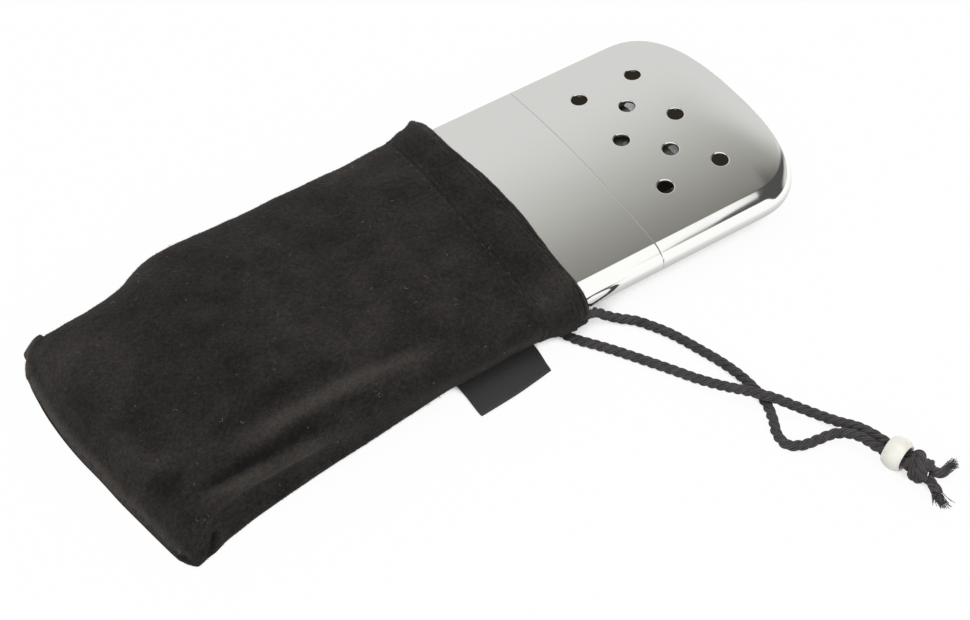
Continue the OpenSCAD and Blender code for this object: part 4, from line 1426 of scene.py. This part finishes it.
        # the loop over the band's width: w along it, h its height as a share
        w = 0.5 - 0.5 * np.cos(np.linspace(0, 1, 40) * math.pi)
        crest = np.where(w < 0.5, ease(w, 0, 0.42), (1 - (2 * np.abs(w - 0.5)) ** 3.2) ** (1 / 2.4))
        dip = 1 - 0.16 * bell(w, 0.86, 0.05) + 0.06 * bell(w, 0.55, 0.2)
        loop_w = np.concatenate([w, w[-2:0:-1]])
        loop_h = np.concatenate([crest * dip, np.zeros(len(w) - 2)])
        x = self.hem_from + loop_w[None, :] * wide[:, None]
        fine = np.linspace(self.hem_from, 57, 24)
        sheet = self.section(fine, share)
        normals = self.outward(sheet)
        k = np.clip((x - fine[0]) / (fine[1] - fine[0]), 0, len(fine) - 1.001)
        i = k.astype(int)
        t = (k - i)[..., None]
        column = np.arange(len(share))[:, None]
        base = sheet[i, column] * (1 - t) + sheet[i + 1, column] * t
        normal = unit(normals[i, column] * (1 - t) + normals[i + 1, column] * t)
        above = (share < 1)[:, None]
        ear = far_bulge[:, None] * above * bell(loop_w[None, :], 0.8, 0.14)
        rise = loop_h[None, :] * (height[:, None] + 1.3 * ear)
        plane = spread_out(base)
        puckers = 0.2 * crumple(plane * [0.35, 1], 5, 31, 2) * loop_h
        pile = 0.08 * crumple(plane, 2.2, 41, 2) * loop_h
        ribs = 0.10 * np.sin((x + 0.5 * crumple(plane, 3, 51, 2)) * TURN / 1.1)
        ribs = ribs * ease(x, mouth[:, None] - 6.5, mouth[:, None] - 4.6) * (loop_h > 0.1) * above
        rise = rise + (puckers + pile + ribs) * near_end[:, None] * np.where(share > 1, 0, 1)[:, None]
        # the casing's wall, so that the cord's channel is open at the near end
        inner = np.clip(rise - 0.32, 0.12, None)
        outer = base + normal * rise[..., None]
        middle = (x - x.min(1, keepdims=True)) / wide[:, None]
        core = base + normal * (inner * (loop_h > 0) + 0.10)[..., None]
        core[..., 0] += (0.5 - middle) * 0.9
        keep_above(outer, GROUND)
        keep_above(core, 0.05)
        points = np.concatenate([outer, core[::-1], outer[:1]])
        # the band's tone: random clouds, lighter on the near bulge, and a painted highlight on the far ear
        plain = 0.10 * crumple(plane, 12, 78) + 0.35 * near_bulge[:, None] + 0.5 * ear
        shape = Shape.grid(points, wrap=True)
        shape.tone = np.concatenate([plain, np.zeros_like(plain), plain[:1]]).ravel()
        band = shape.build("velvet_hem_band", VELVET)
        declare(band, "pouch", "velvet", "hem_casing_upper", "hem_casing_lower")
        shown = outer[:, : len(w)].transpose(1, 0, 2)
        self._fuzz("hem_pile", shown, share, plain[:, : len(w)].T, self.hem_tufts, 22)
        self._hidden_cord()

    def _hidden_cord(self) -> None:
        """The cord's flattened run through the casing, in place of the CAD's."""
        share = np.linspace(0.1, 1.93, 90)
        rows = self.section(np.array([49.9, 50, 50.1]), share)
        low = ease(share, 0.93, 1.0)
        line = rows[1] + self.outward(rows)[1] * (0.55 - 0.77 * low)[:, None]
        knots = np.concatenate([line, (2.8 + 0.2 * low)[:, None], (0.66 - 0.3 * low)[:, None]], 1)
        cord = Lay().twist(knots, (1, 0, 0)).build("casing_cord", CORD)
        declare(cord, "pouch", "cord", "drawcord_in_hem")

    def _label(self) -> None:
        """A bare woven tape folded double, sewn into the seam, its outer corner lifted a little."""
        near, far = 22.4, 42.9
        seam_y, depth_left, depth_right = -30.6, 11.9, 9.8
        u = np.linspace(0, 1, 60)
        v = np.linspace(0, 1, 40)
        loop_v = np.concatenate([v, v[-2:0:-1]])
        half = np.repeat([1.0, -1.0], [len(v), len(v) - 2])
        half = half * (1 - ease(loop_v, 0.93, 1.0) * 0.95)
        depth = depth_left + (depth_right - depth_left) * u
        x = near + (far - near) * u[:, None] - loop_v[None, :] * u[:, None]
        x = x + 0.15 * np.sin(loop_v * 5)[None, :]
        y = seam_y - depth[:, None] * loop_v[None, :]
        curl = 0.5 * loop_v[None, :] ** 2 * (0.5 + 0.9 * (u[:, None] - 0.45) ** 2 * 4)
        z = 0.55 + 0.26 * half[None, :] + curl + 0.06 * np.sin(u * 9)[:, None] * loop_v[None, :]
        shape = Shape.grid(np.stack([x, y, z], -1), wrap=True).capped(len(u), len(loop_v))
        label = shape.build("woven_tape_label", WEAVE)
        declare(label, "pouch", "label_weave", "woven_label")
        across = np.linspace(23, 42, 200)
        seam = np.stack([across, np.full(200, -34.0), np.full(200, 0.86)], -1)
        self._stitches("label_stitch_line", "label_stitches", [(seam, np.tile([0.0, 0, 1], (200, 1)))])

    def _sewing(self) -> None:
        """Rows of thread stitches half sunk in the pile, in place of the CAD's."""
        along = np.arange(-20, 39, 0.25)
        around = np.linspace(0.1, 0.9, 400)
        hem = self.section(np.array([43.1, 43.3, 43.5]), around)
        end = self.section(self.end_x + np.array([0.2, 0.3, 0.4]), np.linspace(0.06, 0.94, 400))
        sides = self.section(along, np.array([0.03, 0.035, 0.04, 0.96, 0.965, 0.97]))
        self._stitches("hem_stitch_line", "hem_stitches", [(hem[1], self.outward(hem)[1])])
        self._stitches("end_stitch_line", "end_seam_stitches", [(end[1], self.outward(end)[1])])
        edges = [(part[:, 1], self.outward(part)[:, 1]) for part in (sides[:, :3], sides[:, 3:])]
        self._stitches("side_stitch_lines", "side_seam_stitches", edges)

    def _stitches(self, name: str, node: str, lines: list, long: float = 2.2, gap: float = 1.0) -> None:
        """Makes one piece of stitches along lines, each given with the cloth's normals."""
        stitches = []
        for line, normal in lines:
            run = run_along(line)
            for start in np.arange(0.5, run[-1] - long, long + gap):
                at = start + np.linspace(0, long, 9)
                path = np.stack([np.interp(at, run, c) for c in line.T], -1)
                up = np.stack([np.interp(at, run, c) for c in normal.T], -1)
                path = path + up * (0.34 * np.sin(np.linspace(0, math.pi, 9)) - 0.4)[:, None]
                keep_above(path, self.thread_r + GROUND)
                stitches.append(tube(path, self.thread_r, 8, np.cross(up[0], path[-1] - path[0])))
        piece = Shape.join(stitches).build(name, THREAD)
        declare(piece, "pouch", "thread", node)


# ---- Main ----


def dress(frame: dict) -> None:
    """Gives the model's own pieces that stay their finishes."""
    finishes = {
        "tank_collar": STEEL, "filler_neck": STEEL, "burner_skirt": STEEL, "burner_cage": STEEL,
        "neck_felt": FELT, "fuel_wadding": FELT, "catalyst_mat": MAT,
    }  # fmt: skip
    for node, finish in finishes.items():
        frame["nodes"][node].material_slots[0].material = finish.material()


def build_warmer() -> None:
    """Makes the chrome tank and lid."""
    form = CaseForm()
    tank_long, lid_long, seam_x, seam_gap = 52.6, 46.4, 77, 0.06
    tank = HalfCase(form, Side.TANK, tank_long, (seam_x, SEAM_Z)).build("chrome_tank")
    declare(tank, "tank", "chrome_case", "tank_shell")
    # the vents: rows of 3, 2 and 3, by their middle's distance from the seam and their pitches
    rows = [(-1, (-1, 0, 1)), (0, (-0.5, 0.5)), (1, (-1, 0, 1))]
    holes = np.array([(19.3 - seam_gap + r * 7.8, i * 17.8) for r, across in rows for i in across])
    lid_at = (seam_x + seam_gap, SEAM_Z)
    lid = HalfCase(form, Side.LID, lid_long - seam_gap, lid_at, holes).build("chrome_lid")
    declare(lid, "lid", "chrome_case", "lid_shell")


def main() -> None:
    """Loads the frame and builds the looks."""
    logging.basicConfig(level=logging.INFO, format="%(message)s")
    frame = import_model()
    Viewpoint().build()
    Drawcord().build()
    Pouch().build()
    build_warmer()
    dress(frame)
    Studio().build()


if __name__ == "__main__":
    main()
